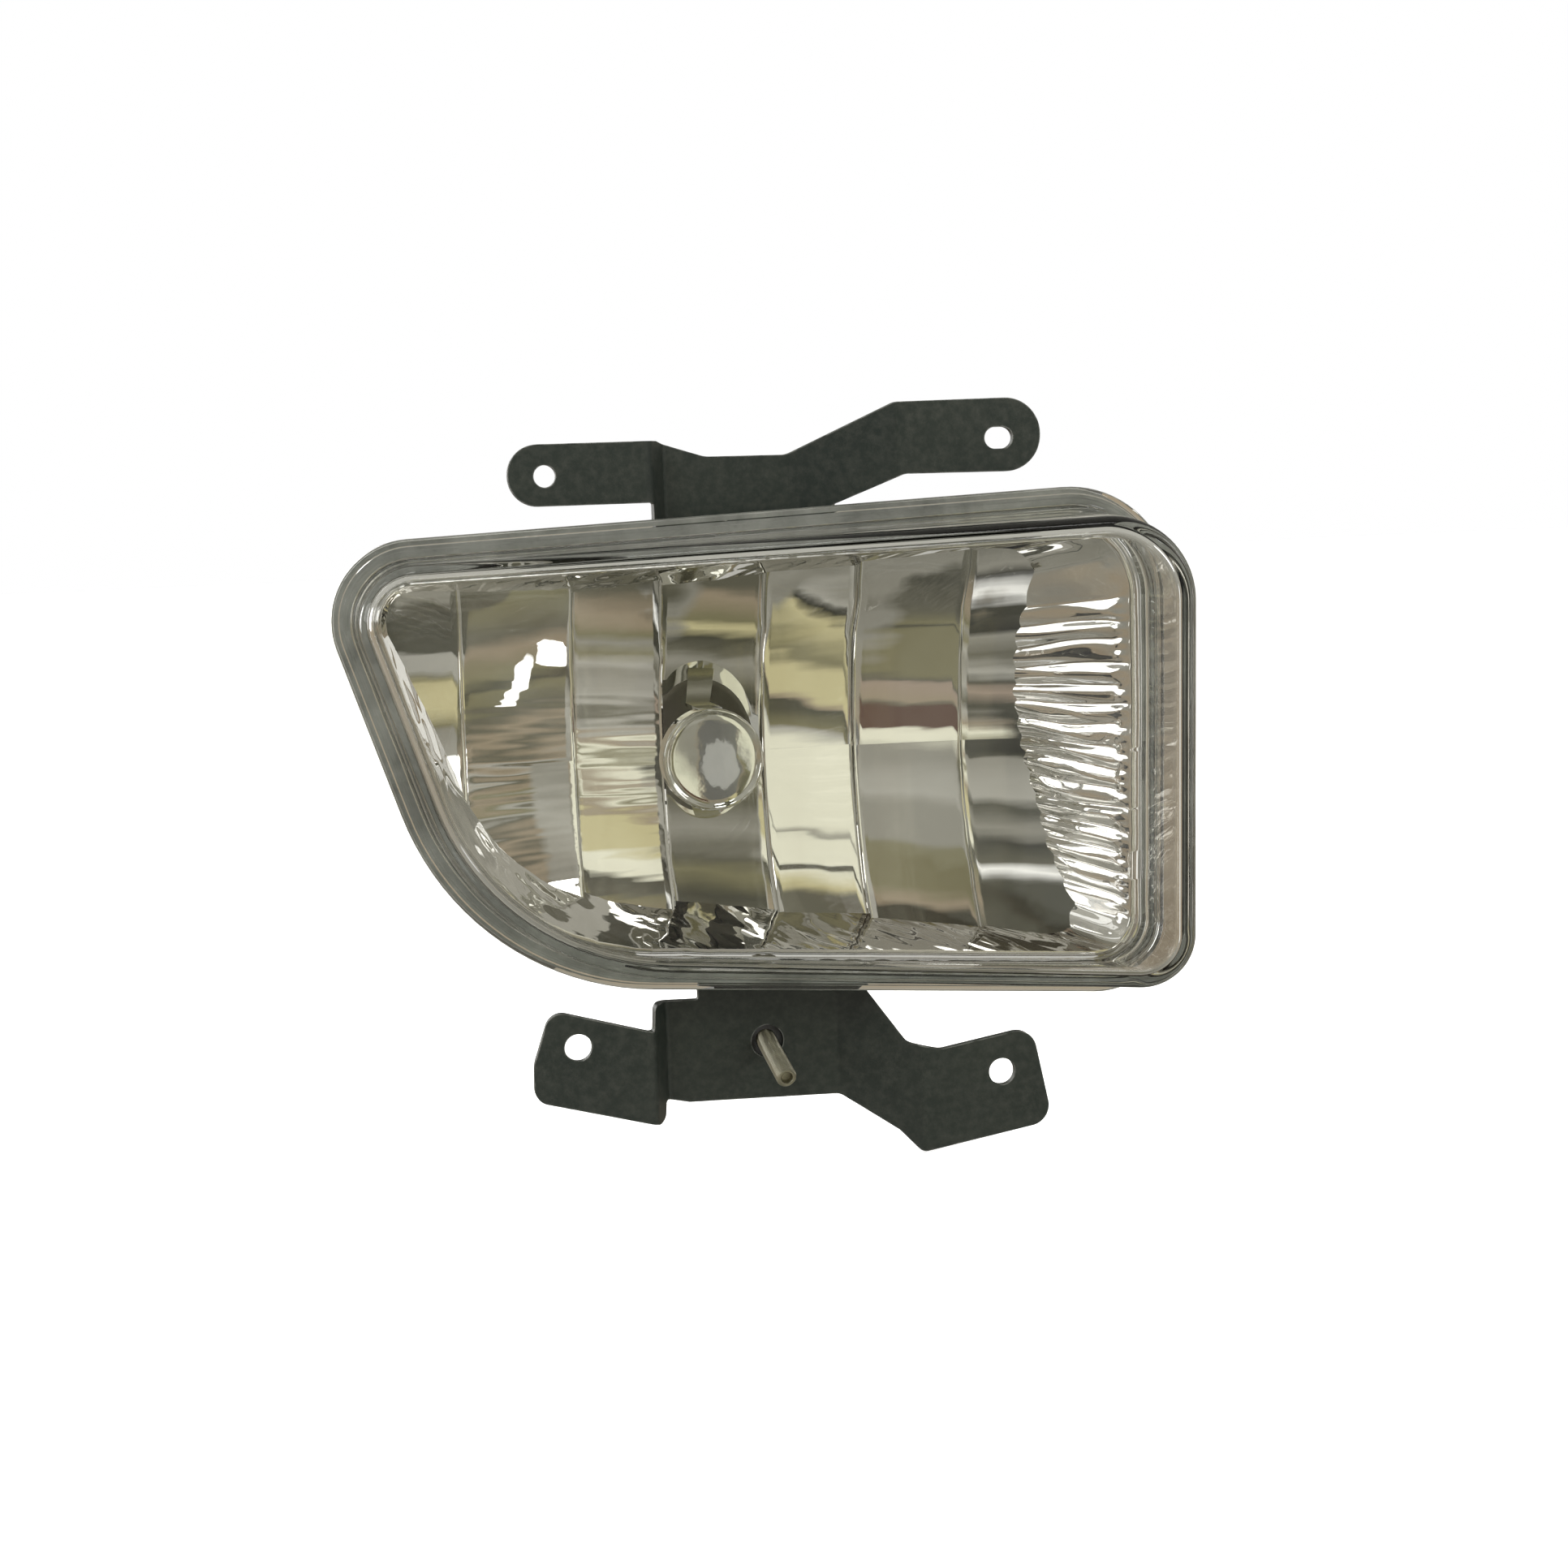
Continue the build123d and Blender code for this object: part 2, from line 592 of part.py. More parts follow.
os.makedirs("parts", exist_ok=True)
save("lens", make_lens())
save("lens_seal", make_seal())
save("housing", make_housing())
save("breather_cap", make_breather())
save("reflector", make_reflector())
save("reflector_screws", *make_reflector_screws())
save("bulb_shield", make_shield())
save("bulb_glass", make_glass())
save("filament", make_filament())
save("filament_supports", *make_filament_supports())
save("bulb_base", make_bulb_base())
save("bulb_holder", make_holder())
save("bulb_seal", make_bulb_seal())
save("terminals", *make_terminals())
save("upper_bracket", make_upper_bracket())
save("pivot_yoke", make_yoke())
save("pivot_pin", make_pivot_pin())
save("pivot_nut", make_pivot_nut())
save("pivot_bush", make_bush())
save("lower_bracket", make_lower_bracket())
save("aim_nut", make_aim_nut())
save("aim_screw", make_aim_screw())
save("screw_cup", make_cup())
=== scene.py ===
import json
import math

import bmesh
import bpy
from mathutils import Matrix, Vector, noise


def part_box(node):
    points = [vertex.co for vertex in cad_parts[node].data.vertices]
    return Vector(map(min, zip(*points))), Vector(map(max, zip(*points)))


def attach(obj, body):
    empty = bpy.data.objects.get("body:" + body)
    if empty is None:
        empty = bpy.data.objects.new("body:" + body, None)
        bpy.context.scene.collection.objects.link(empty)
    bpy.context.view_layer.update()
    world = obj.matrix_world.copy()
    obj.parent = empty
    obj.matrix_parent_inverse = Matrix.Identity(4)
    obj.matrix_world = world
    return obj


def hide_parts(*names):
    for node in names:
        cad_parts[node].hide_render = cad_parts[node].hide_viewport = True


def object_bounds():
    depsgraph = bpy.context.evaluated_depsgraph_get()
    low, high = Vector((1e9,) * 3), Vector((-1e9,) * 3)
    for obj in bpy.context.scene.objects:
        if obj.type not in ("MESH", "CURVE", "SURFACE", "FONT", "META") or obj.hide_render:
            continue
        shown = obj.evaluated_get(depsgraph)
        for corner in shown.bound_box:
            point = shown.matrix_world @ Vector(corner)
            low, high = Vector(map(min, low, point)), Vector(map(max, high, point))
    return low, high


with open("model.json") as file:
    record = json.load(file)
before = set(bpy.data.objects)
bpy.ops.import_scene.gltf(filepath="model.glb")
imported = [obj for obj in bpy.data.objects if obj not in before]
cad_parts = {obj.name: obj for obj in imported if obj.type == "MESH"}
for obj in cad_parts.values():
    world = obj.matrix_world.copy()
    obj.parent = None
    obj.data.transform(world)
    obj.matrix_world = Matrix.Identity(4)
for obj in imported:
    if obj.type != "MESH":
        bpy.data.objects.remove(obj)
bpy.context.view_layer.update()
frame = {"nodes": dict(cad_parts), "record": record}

MM = 0.001

# ================================================================ the lamp's own frame
# Shapes are drawn in millimetres with the bulb's axis along Y through the origin and
# y = 0 on the rear face of the lens foot, then moved into the row's frame.
bulb_low, bulb_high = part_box("bulb_glass")
lens_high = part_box("lens")[1]
LAMP_ORIGIN = Vector(((bulb_low.x + bulb_high.x) / 2, lens_high.y, (bulb_low.z + bulb_high.z) / 2))

FACE_CORNERS = [(-97.0, 55.3), (112.5, 63.5), (109.5, -62.3), (-63.0, -49.0)]
FACE_RADII = [19.0, 26.0, 19.0, 65.0]

# Glass lens
FOOT_THICK = 4.0
LEDGE = 4.5
LENS_WALL = 3.0
LENS_DRAFT = 2.5
LENS_SHIFT = Vector((1.3, -0.7))
LENS_MAX_DEPTH = 42.0
LENS_EDGE_RADIUS = 3.5
LENS_INNER_RADIUS = 2.2
FRONT_LEFT = (-97.0, -14.5)
FRONT_RIGHT = (107.0, -37.84)

# Reflector
MIRROR_RIM_INSET = 9.5
MIRROR_WALL = 2.2
FLANGE_INSET = 6.7          # just inside the housing's wall
RIM_GAP = 0.05              # between the bowl's rim and the glass
FACET_FOCUS = 50.0          # how steeply the facets rise upwards and downwards
COLUMN_EDGES = [-84.0, -59.5, -31.8, -9.8, 15.9, 39.3, 66.5, 108.0]
EDGE_DEPTHS = [14.0, 24.0, 31.0, 34.0, 34.0, 31.5, 27.0, 20.0]
FACET_LEANS = [             # sideways and upright lean of each upper, then each lower facet, in degrees
    ((0.0, 0.6), (0.0, -0.4)),
    ((0.6, 0.0), (-0.5, 0.0)),
    ((-17.3, 0.0), (-17.6, 0.0)),
    ((-7.1, 0.0), (-7.5, 0.0)),
    ((9.4, 1.2), (9.8, 1.5)),
    ((3.9, 1.6), (3.3, 1.2)),
    ((-8.5, 0.8), (-9.2, 1.4)),
]
FACET_CROWNS = [0.16, 0.42, 0.16, 0.20, 0.12, 0.16, 0.34]
JOINT_WIDTH = 0.7           # each facet curves off beside its neighbour
JOINT_DROP = 0.10
STREAKED_COLUMNS = {1: 0.030, 2: 0.026}     # depth of their fine level streaks
WALL_SLOPE = 0.2686         # how fast the bowl's walls close in with depth
FAR_DEPTH = 46.0
END_WALL_CLOSE = 43.7       # how far the fluted end wall comes in at that depth
END_WALL_LEANS = (-16.0, 12.0, 4.0)     # further in at the top, middle and bottom, at that depth
FLUTES = 21
FLUTE_HEIGHT = 0.7
BEADS = 34
BEAD_HEIGHT = 0.35
END_WALL_REACH = 20.0       # those leans fade out leftwards to here
TOP_FLUTES = 26             # outline points of the top side that the flutes also cover
FAR_RADII = [19.0, 32.0, 31.0, 65.0]
WALL_DEPTHS = [-2, 0, 0.5, 1, 1.5, 2, 2.5, 3, 3.5, 5, 7, 9, 11, 13, 15, 17, 19, 21, 24, 28, 34, FAR_DEPTH]
BULB_HOLE = 9.8
HOLE_FRONT, HOLE_REAR = 28.0, 36.2

# Bulb shield
SHIELD_RADIUS = 12.4
SHIELD_FRONT = 12.5
SHIELD_SKIRT = 7.0
SHIELD_GAUGE = 0.8
SHIELD_LEG = 6.0

# Aiming screw and pivot bolt
SCREW_LEAN = 10.0
SCREW_ANCHOR = Vector((10.2, 14.0, -69.8))
SCREW_FRONT = 26.0
CUP_AT = 18.0
CUP_HALF = 3.9
THREAD_PITCH = 0.8
THREAD_DEPTH = 0.42
PIVOT = Vector((14.0, 25.0, 61.0))
FORK_HALF = 14.4

# Filament
COIL_FRONT, COIL_REAR = 24.0, 30.0
COIL_RADIUS = 0.66
COIL_WIRE = 0.13
COIL_TURNS = 11


def lamp_point(x, y, z):
    """A place in the lamp's frame, in millimetres, as metres in the row's frame."""
    return LAMP_ORIGIN + Vector((x, y, z)) * MM


# ================================================================ mesh helpers
def link(obj):
    bpy.context.scene.collection.objects.link(obj)
    return obj


def new_object(name, bm, smooth_angle=None):
    """A bmesh drawn in the lamp's frame becomes an object in the row's frame."""
    bm.normal_update()
    mesh = bpy.data.meshes.new(name)
    bm.to_mesh(mesh)
    bm.free()
    mesh.transform(Matrix.Translation(LAMP_ORIGIN) @ Matrix.Scale(MM, 4))
    if smooth_angle is not None:
        mesh.shade_smooth()
        mesh.set_sharp_from_angle(angle=math.radians(smooth_angle))
    return link(bpy.data.objects.new(name, mesh))


def outline(inset, per_corner=20, per_side=24, corners=FACE_CORNERS, radii=FACE_RADII, least=4.0):
    """Points (x, z) round the face outline moved inwards by inset, clockwise from the front."""
    count = len(corners)
    arcs = []
    for i in range(count):
        here = Vector(corners[i])
        before = (here - Vector(corners[i - 1])).normalized()
        after = (Vector(corners[(i + 1) % count]) - here).normalized()
        inward = Vector((before.y, -before.x)) + Vector((after.y, -after.x))
        corner = here + inward * (inset / (1 + before.dot(after)))
        radius = max(radii[i] - inset, least)
        turn = math.acos(max(-1.0, min(1.0, before.dot(after))))
        start = corner - before * (radius * math.tan(turn / 2))
        centre = start + Vector((before.y, -before.x)) * radius
        spoke = start - centre
        arc = []
        for k in range(per_corner + 1):
            angle = turn * k / per_corner
            arc.append(centre + Vector((
                spoke.x * math.cos(angle) + spoke.y * math.sin(angle),
                -spoke.x * math.sin(angle) + spoke.y * math.cos(angle),
            )))
        arcs.append(arc)
    points = []
    for i in range(count):
        points.extend(arcs[i])
        start = arcs[i][-1]
        end = arcs[(i + 1) % count][0]
        points.extend(start.lerp(end, k / per_side) for k in range(1, per_side))
    return points


def join_rings(bm, rings):
    """Quads between rings that have the same number of points."""
    made = [[bm.verts.new(p) for p in ring] for ring in rings]
    count = len(made[0])
    for first, second in zip(made[:-1], made[1:]):
        for i in range(count):
            j = (i + 1) % count
            bm.faces.new((first[i], first[j], second[j], second[i]))
    return made


def close_ends(bm, made):
    """Caps on the first and last ring."""
    bm.faces.new(made[0])
    bm.faces.new(made[-1])
    bmesh.ops.recalc_face_normals(bm, faces=bm.faces)


def turned_rings(profile, origin, axis, segments):
    """Rings about a line, from (distance along it, radius) pairs.

    A radius may also be a function of the angle.
    """
    side = axis.orthogonal().normalized()
    up = axis.cross(side)
    rings = []
    for along, radius in profile:
        ring = []
        for k in range(segments):
            angle = 2 * math.pi * k / segments
            reach = radius(angle) if callable(radius) else radius
            ring.append(origin + axis * along + (side * math.cos(angle) + up * math.sin(angle)) * reach)
        rings.append(ring)
    return rings


# ================================================================ glass lens
def front_y(x):
    """Depth of the lens's slanting front plane."""
    share = (x - FRONT_LEFT[0]) / (FRONT_RIGHT[0] - FRONT_LEFT[0])
    return FRONT_LEFT[1] + share * (FRONT_RIGHT[1] - FRONT_LEFT[1])


def lens_ring(base, extra, rise, drop):
    """A ring of the drafted wall: rise 0 is the foot, 1 is the front plane moved back by drop."""
    near = outline(base + extra)
    far = outline(base + extra + LENS_DRAFT)
    ring = []
    for p, q in zip(near, far):
        y = -FOOT_THICK + (front_y(p.x) + drop + FOOT_THICK) * rise
        share = -y / LENS_MAX_DEPTH
        spot = p.lerp(q, share) + LENS_SHIFT * share
        ring.append((spot.x, y, spot.y))
    return ring


def lens_skin(base, radius, drop, steps):
    """Rings up the wall and round the edge on to the front."""
    rings = [lens_ring(base, 0.0, share, drop + radius) for share in (0.25, 0.5, 0.75, 1.0)]
    for step in range(1, steps + 1):
        angle = math.radians(90 * step / steps)
        inwards = radius * (1 - math.cos(angle))
        backwards = radius * (1 - math.sin(angle))
        rings.append(lens_ring(base, inwards, 1.0, drop + backwards))
    return rings


def make_lens():
    foot = -FOOT_THICK
    outer = []
    for inset, y in ((0.5, 0), (0.0, -0.5), (0.0, foot + 1.0), (0.3, foot + 0.3), (1.0, foot)):
        outer.append([(p.x, y, p.y) for p in outline(inset)])
    groove = ((1.5, foot), (1.8, foot + 0.35), (2.5, foot + 0.35), (2.8, foot))
    for inset, y in groove:
        outer.append([(p.x, y, p.y) for p in outline(inset)])
    for inset, y in ((LEDGE - 1.0, foot), (LEDGE - 0.3, foot - 0.25), (LEDGE + 0.1, foot - 1.0)):
        outer.append([(p.x, y, p.y) for p in outline(inset)])
    outer += lens_skin(LEDGE, LENS_EDGE_RADIUS, 0.0, 8)
    base = LEDGE + LENS_WALL
    inner = [[(p.x, y, p.y) for p in outline(base)] for y in (0, foot)]
    inner += lens_skin(base, LENS_INNER_RADIUS, LENS_WALL, 6)
    bm = bmesh.new()
    outside = join_rings(bm, outer)
    inside = join_rings(bm, inner)
    bm.faces.new(outside[-1])
    bm.faces.new(inside[-1])
    count = len(outside[0])
    for i in range(count):
        j = (i + 1) % count
        bm.faces.new((outside[0][i], outside[0][j], inside[0][j], inside[0][i]))
    bmesh.ops.recalc_face_normals(bm, faces=bm.faces)
    return new_object("lens_clear", bm, 40)


# ================================================================ reflector
def ripple(column, x, z):
    """Slight unevenness of the moulded facets, and the level streaks of two columns."""
    uneven = 0.05 * noise.noise(Vector((x / 26, z / 20, column * 7.3)))
    uneven += 0.010 * noise.noise(Vector((x / 8, z / 7, column * 3.1)))
    streaks = STREAKED_COLUMNS.get(column, 0.0)
    if streaks:
        fan = z + 0.12 * (x - COLUMN_EDGES[column]) * z / 30
        fade = math.exp(-((z + 8) / 26) ** 4)
        uneven += streaks * fade * noise.noise(Vector((x / 16, fan / 1.7, column)))
        uneven += streaks * (0.25 + 0.75 * fade) * noise.noise(Vector((x / 22, fan / 3.1, column + 40)))
    return uneven


def floor_y(column, x, z):
    """Depth of the faceted floor."""
    x0, x1 = COLUMN_EDGES[column:column + 2]
    y0, y1 = EDGE_DEPTHS[column:column + 2]
    share = (x - x0) / (x1 - x0)
    sideways, upright = FACET_LEANS[column][0 if z > 0 else 1]
    depth = y0 + (y1 - y0) * share - z * z / (4 * FACET_FOCUS)
    depth += (x - (x0 + min(x1, 90.0)) / 2) * math.tan(math.radians(sideways))
    depth -= abs(z) * math.tan(math.radians(upright))
    beside = max(0.0, 1 - min(x - x0, x1 - x) / JOINT_WIDTH)
    depth -= JOINT_DROP * beside * beside
    return depth + FACET_CROWNS[column] * math.sin(math.pi * share) + ripple(column, x, z)


def floor_solid():
    """Closed solid in front of the floor: its back is the facets."""
    half_height, gap, rows = 56.0, 0.01, 190
    below = [-half_height + (half_height - gap) * k / rows for k in range(rows + 1)]
    levels = below + [-z for z in reversed(below)]
    stations = []
    for column in range(len(COLUMN_EDGES) - 1):
        x0, x1 = COLUMN_EDGES[column] + gap, COLUMN_EDGES[column + 1] - gap
        steps = max(6, round((x1 - x0) / 1.6))
        inner = [x0 + JOINT_WIDTH + (x1 - x0 - 2 * JOINT_WIDTH) * k / steps for k in range(steps + 1)]
        near = [x0, x0 + 0.15, x0 + 0.35]
        far = [x1 - 0.35, x1 - 0.15, x1]
        stations += [(column, x) for x in near + inner + far]
    bm = bmesh.new()
    back = [[bm.verts.new((x, floor_y(c, x, z), z)) for z in levels] for c, x in stations]
    front = [[bm.verts.new((x, -30, z)) for z in levels] for c, x in stations]
    last, top = len(stations) - 1, len(levels) - 1
    for i in range(last):
        for k in range(top):
            bm.faces.new((back[i][k], back[i + 1][k], back[i + 1][k + 1], back[i][k + 1]))
            bm.faces.new((front[i][k], front[i][k + 1], front[i + 1][k + 1], front[i + 1][k]))
        bm.faces.new((back[i][0], front[i][0], front[i + 1][0], back[i + 1][0]))
        bm.faces.new((back[i + 1][top], front[i + 1][top], front[i][top], back[i][top]))
    for k in range(top):
        bm.faces.new((back[0][k], back[0][k + 1], front[0][k + 1], front[0][k]))
        bm.faces.new((back[last][k + 1], back[last][k], front[last][k], front[last][k + 1]))
    bmesh.ops.recalc_face_normals(bm, faces=bm.faces)
    return bm


def wall_swell(turn, depth, spot):
    """How far the bowl's wall stands in: flutes and beads on the end wall, slight waves elsewhere."""
    if 0 <= turn <= 1 and depth > 0:
        drift = 0.35 * noise.noise(Vector((turn * 9, depth / 16, 5)))
        height = FLUTE_HEIGHT * (0.9 + 0.7 * noise.noise(Vector((turn * 21, depth / 9, 2))))
        flute = abs(math.sin(math.pi * (FLUTES * turn + drift))) ** 0.9 * height * min(1, depth / 3.5)
        band = max(0.0, 1 - abs(depth - 2.0) / 1.5)
        bead = math.sin(math.pi * BEADS * turn) ** 2 * BEAD_HEIGHT * band
        return flute + bead
    slanted = spot.x + 0.7 * depth
    return 0.34 * noise.noise(Vector((slanted / 3.6, spot.y / 12, depth / 7)))


def envelope_solid():
    """Closed solid inside the bowl's walls."""
    per_corner, per_side = 30, 168
    rim = outline(MIRROR_RIM_INSET, per_corner, per_side)
    close = WALL_SLOPE * FAR_DEPTH
    far_corners = []
    for i, (x, z) in enumerate(FACE_CORNERS):
        far_corners.append((x - (END_WALL_CLOSE - close if i in (1, 2) else 0), z))
    far = outline(MIRROR_RIM_INSET + close, per_corner, per_side, far_corners, FAR_RADII, 6.0)
    low, high = min(p.y for p in far), max(p.y for p in far)
    right = max(p.x for p in far)
    for p in far:
        height = (p.y - low) / (high - low)
        top, middle, bottom = END_WALL_LEANS
        lean = top * height + bottom * (1 - height) + middle * 4 * height * (1 - height)
        p.x += lean * max(0.0, min(1.0, (p.x - END_WALL_REACH) / (right - END_WALL_REACH)))
    side = per_corner + per_side
    first = side - TOP_FLUTES
    last = 2 * side + per_corner // 2
    rings = []
    for depth in WALL_DEPTHS:
        ring = []
        for i, (p, q) in enumerate(zip(rim, far)):
            spot = p.lerp(q, depth / FAR_DEPTH)
            swell = wall_swell((i - first) / (last - first), depth, spot)
            spot = spot + (q - p).normalized() * swell
            ring.append((spot.x, depth, spot.y))
        rings.append(ring)
    bm = bmesh.new()
    close_ends(bm, join_rings(bm, rings))
    return bm


def hole_solid():
    """Round plug that opens the bulb's hole in the floor."""
    bm = bmesh.new()
    profile = [(HOLE_FRONT, BULB_HOLE), (30.0, BULB_HOLE), (HOLE_REAR, BULB_HOLE)]
    rings = turned_rings(profile, Vector((0, 0, 0)), Vector((0, 1, 0)), 72)
    close_ends(bm, join_rings(bm, rings))
    return bm


def merged(target, tool, operation):
    """The exact boolean of two objects, in the target's mesh; the tool is used up."""
    cut = target.modifiers.new("cut", "BOOLEAN")
    cut.operation = operation
    cut.solver = "EXACT"
    cut.object = tool
    graph = bpy.context.evaluated_depsgraph_get()
    mesh = bpy.data.meshes.new_from_object(target.evaluated_get(graph))
    target.modifiers.clear()
    target.data = mesh
    bpy.data.objects.remove(tool)


def flange(bm):
    """A flat lip outwards from the bowl's open rim."""
    scale = Matrix.Translation(LAMP_ORIGIN) @ Matrix.Scale(MM, 4)
    edge_line = [scale @ Vector((p.x, 0, p.y)) for p in outline(MIRROR_RIM_INSET)]
    outer_line = [scale @ Vector((p.x, 0, p.y)) for p in outline(FLANGE_INSET)]
    near_rim = LAMP_ORIGIN.y + 2 * RIM_GAP * MM
    rim = [e for e in bm.edges if e.is_boundary and all(v.co.y < near_rim for v in e.verts)]
    lip = bmesh.ops.extrude_edge_only(bm, edges=rim)
    for vert in (item for item in lip["geom"] if isinstance(item, bmesh.types.BMVert)):
        nearest = min(range(len(edge_line)), key=lambda k: (edge_line[k] - vert.co).length_squared)
        vert.co += outer_line[nearest] - edge_line[nearest]


def make_reflector():
    """The cavity of the bowl turned inside out, opened at the rim and behind the bulb."""
    kinds = [bpy.data.materials.new(label) for label in ("floor_face", "wall_face", "hole_face")]
    shapes = []
    solids = [("floor", floor_solid()), ("walls", envelope_solid()), ("hole", hole_solid())]
    for index, (label, solid) in enumerate(solids):
        for face in solid.faces:
            face.material_index = index
        shape = new_object("bowl_" + label, solid)
        for kind in kinds:
            shape.data.materials.append(kind)
        shapes.append(shape)
    floor, walls, hole = shapes
    merged(walls, floor, "INTERSECT")
    merged(walls, hole, "UNION")
    bm = bmesh.new()
    bm.from_mesh(walls.data)
    rim_y = LAMP_ORIGIN.y - 0.3 * MM
    plug_y = LAMP_ORIGIN.y + (HOLE_REAR - 0.1) * MM
    doomed = []
    for face in bm.faces:
        middle_y = face.calc_center_median().y
        if middle_y < rim_y or middle_y > plug_y:
            doomed.append(face)
    bmesh.ops.delete(bm, geom=doomed, context="FACES")
    bmesh.ops.bisect_plane(
        bm, geom=bm.verts[:] + bm.edges[:] + bm.faces[:],
        plane_co=lamp_point(0, RIM_GAP, 0), plane_no=(0, -1, 0), clear_outer=True,
    )
    flange(bm)
    bmesh.ops.reverse_faces(bm, faces=bm.faces)
    names = [slot.name for slot in walls.data.materials]
    sharp_limit = {("floor_face", "floor_face"): 9.0, ("wall_face", "wall_face"): 52.0}
    for edge in bm.edges:
        if len(edge.link_faces) != 2:
            continue
        pair = tuple(sorted(names[face.material_index] for face in edge.link_faces))
        edge.smooth = math.degrees(edge.calc_face_angle(0)) < sharp_limit.get(pair, 12.0)
    for face in bm.faces:
        face.smooth = True
        face.material_index = 0
    mesh = bpy.data.meshes.new("mirror_bowl")
    bm.to_mesh(mesh)
    bm.free()
    bpy.data.objects.remove(walls)
    for kind in kinds:
        bpy.data.materials.remove(kind)
    bowl = link(bpy.data.objects.new("mirror_bowl", mesh))
    thick = bowl.modifiers.new("wall", "SOLIDIFY")
    thick.thickness = MIRROR_WALL * MM
    thick.offset = -1
    return bowl


# ================================================================ bulb shield and filament
def make_shield():
    """Domed cap with a rolled rim and two legs through the bowl."""
    rim, front, gauge = SHIELD_RADIUS, SHIELD_FRONT, SHIELD_GAUGE
    crown = 0.9
    outside = []
    for k in range(13):
        radius = (rim - 1.9) * k / 12
        outside.append((front + 0.35 + crown * (radius / rim) ** 2 * 0.5, max(radius, 0.01)))
    outside += [(front + 0.75, rim - 1.6), (front + 0.35, rim - 1.1), (front + 0.12, rim - 0.7)]
    for k in range(7):
        angle = math.radians(15 * k)
        outside.append((front + 0.6 - 0.6 * math.cos(angle), rim - 0.6 + 0.6 * math.sin(angle)))
    outside += [(front + 3, rim), (front + SHIELD_SKIRT, rim)]
    inside = [(front + SHIELD_SKIRT, rim - gauge), (front + 2.4, rim - gauge), (front + 1.7, rim - 1.6)]
    inside.append((front + 1.5, 0.01))
    bm = bmesh.new()
    rings = turned_rings(outside + inside, Vector((0, 0, 0)), Vector((0, 1, 0)), 96)
    close_ends(bm, join_rings(bm, rings))
    floor = EDGE_DEPTHS[3] + MIRROR_WALL
    path = [(front + 3, rim), (floor - 1.2, rim), (floor - 0.6, rim + 0.16), (floor - 0.16, rim + 0.6)]
    path += [(floor, rim + 1.2), (floor, rim + 5)]
    half = SHIELD_LEG / 2
    for side in (-1, 1):
        rings = []
        for i, (y, z) in enumerate(path):
            before, after = path[max(i - 1, 0)], path[min(i + 1, len(path) - 1)]
            along = Vector((after[0] - before[0], after[1] - before[1])).normalized()
            y_in, z_in = y + along.y * gauge, z - along.x * gauge
            rings.append([
                (-half, y, side * z), (half, y, side * z),
                (half, y_in, side * z_in), (-half, y_in, side * z_in),
            ])
        close_ends(bm, join_rings(bm, rings))
    return new_object("bulb_cap", bm, 35)


def make_coil():
    """The filament's wound wire."""
    steps, sides = COIL_TURNS * 20, 8
    rings = []
    for k in range(steps + 1):
        share = k / steps
        angle = 2 * math.pi * COIL_TURNS * share
        centre = Vector((
            COIL_RADIUS * math.cos(angle),
            COIL_FRONT + COIL_WIRE + (COIL_REAR - COIL_FRONT - 2 * COIL_WIRE) * share,
            COIL_RADIUS * math.sin(angle),
        ))
        outwards = Vector((math.cos(angle), 0, math.sin(angle)))
        across = Vector((0, 1, 0))
        rings.append([
            centre + (outwards * math.cos(t) + across * math.sin(t)) * COIL_WIRE
            for t in (2 * math.pi * j / sides for j in range(sides))
        ])
    bm = bmesh.new()
    close_ends(bm, join_rings(bm, rings))
    return new_object("filament_coil", bm, 60)


# ================================================================ threaded bars
def thread_radius(crest, along, depth):
    """Radius of a helical V thread at a distance along the bar, as a function of the angle."""
    def at(angle):
        phase = (along / THREAD_PITCH - angle / (2 * math.pi)) % 1.0
        return crest - depth * min(1.0, abs(2 * phase - 1) * 1.25)
    return at


def threaded_profile(crest, start, end, run_out=1.0):
    """Profile pairs of a thread that fades out at its end."""
    pairs = []
    steps = round((end - start) / THREAD_PITCH * 8)
    for k in range(steps + 1):
        along = start + (end - start) * k / steps
        depth = THREAD_DEPTH * min(1.0, (end - along) / run_out)
        pairs.append((along, thread_radius(crest, along, depth)))
    return pairs


def make_aim_screw():
    """Threaded stud with a driver recess in its tip and a collar at the cup."""
    lean = math.radians(SCREW_LEAN)
    axis = Vector((0, math.cos(lean), math.sin(lean)))
    tip = -SCREW_FRONT
    profile = [(tip + 2.0, 0.01), (tip + 2.0, 1.15), (tip + 0.25, 1.3), (tip, 1.5), (tip, 1.95)]
    profile += threaded_profile(2.48, tip + 0.45, 11.5)
    shoulder = CUP_AT - CUP_HALF
    profile += [(12.0, 2.48), (shoulder - 1.4, 2.48), (shoulder - 1.4, 3.7), (shoulder - 1.1, 4.0)]
    profile += [(shoulder - 0.1, 4.0), (shoulder - 0.1, 2.48)]
    rivet = CUP_AT + CUP_HALF + 0.1
    profile += [(rivet, 2.48), (rivet, 3.6), (rivet + 0.7, 3.5), (rivet + 1.2, 2.6), (rivet + 1.4, 0.01)]
    bm = bmesh.new()
    close_ends(bm, join_rings(bm, turned_rings(profile, SCREW_ANCHOR, axis, 40)))
    return new_object("aim_stud", bm, 50)


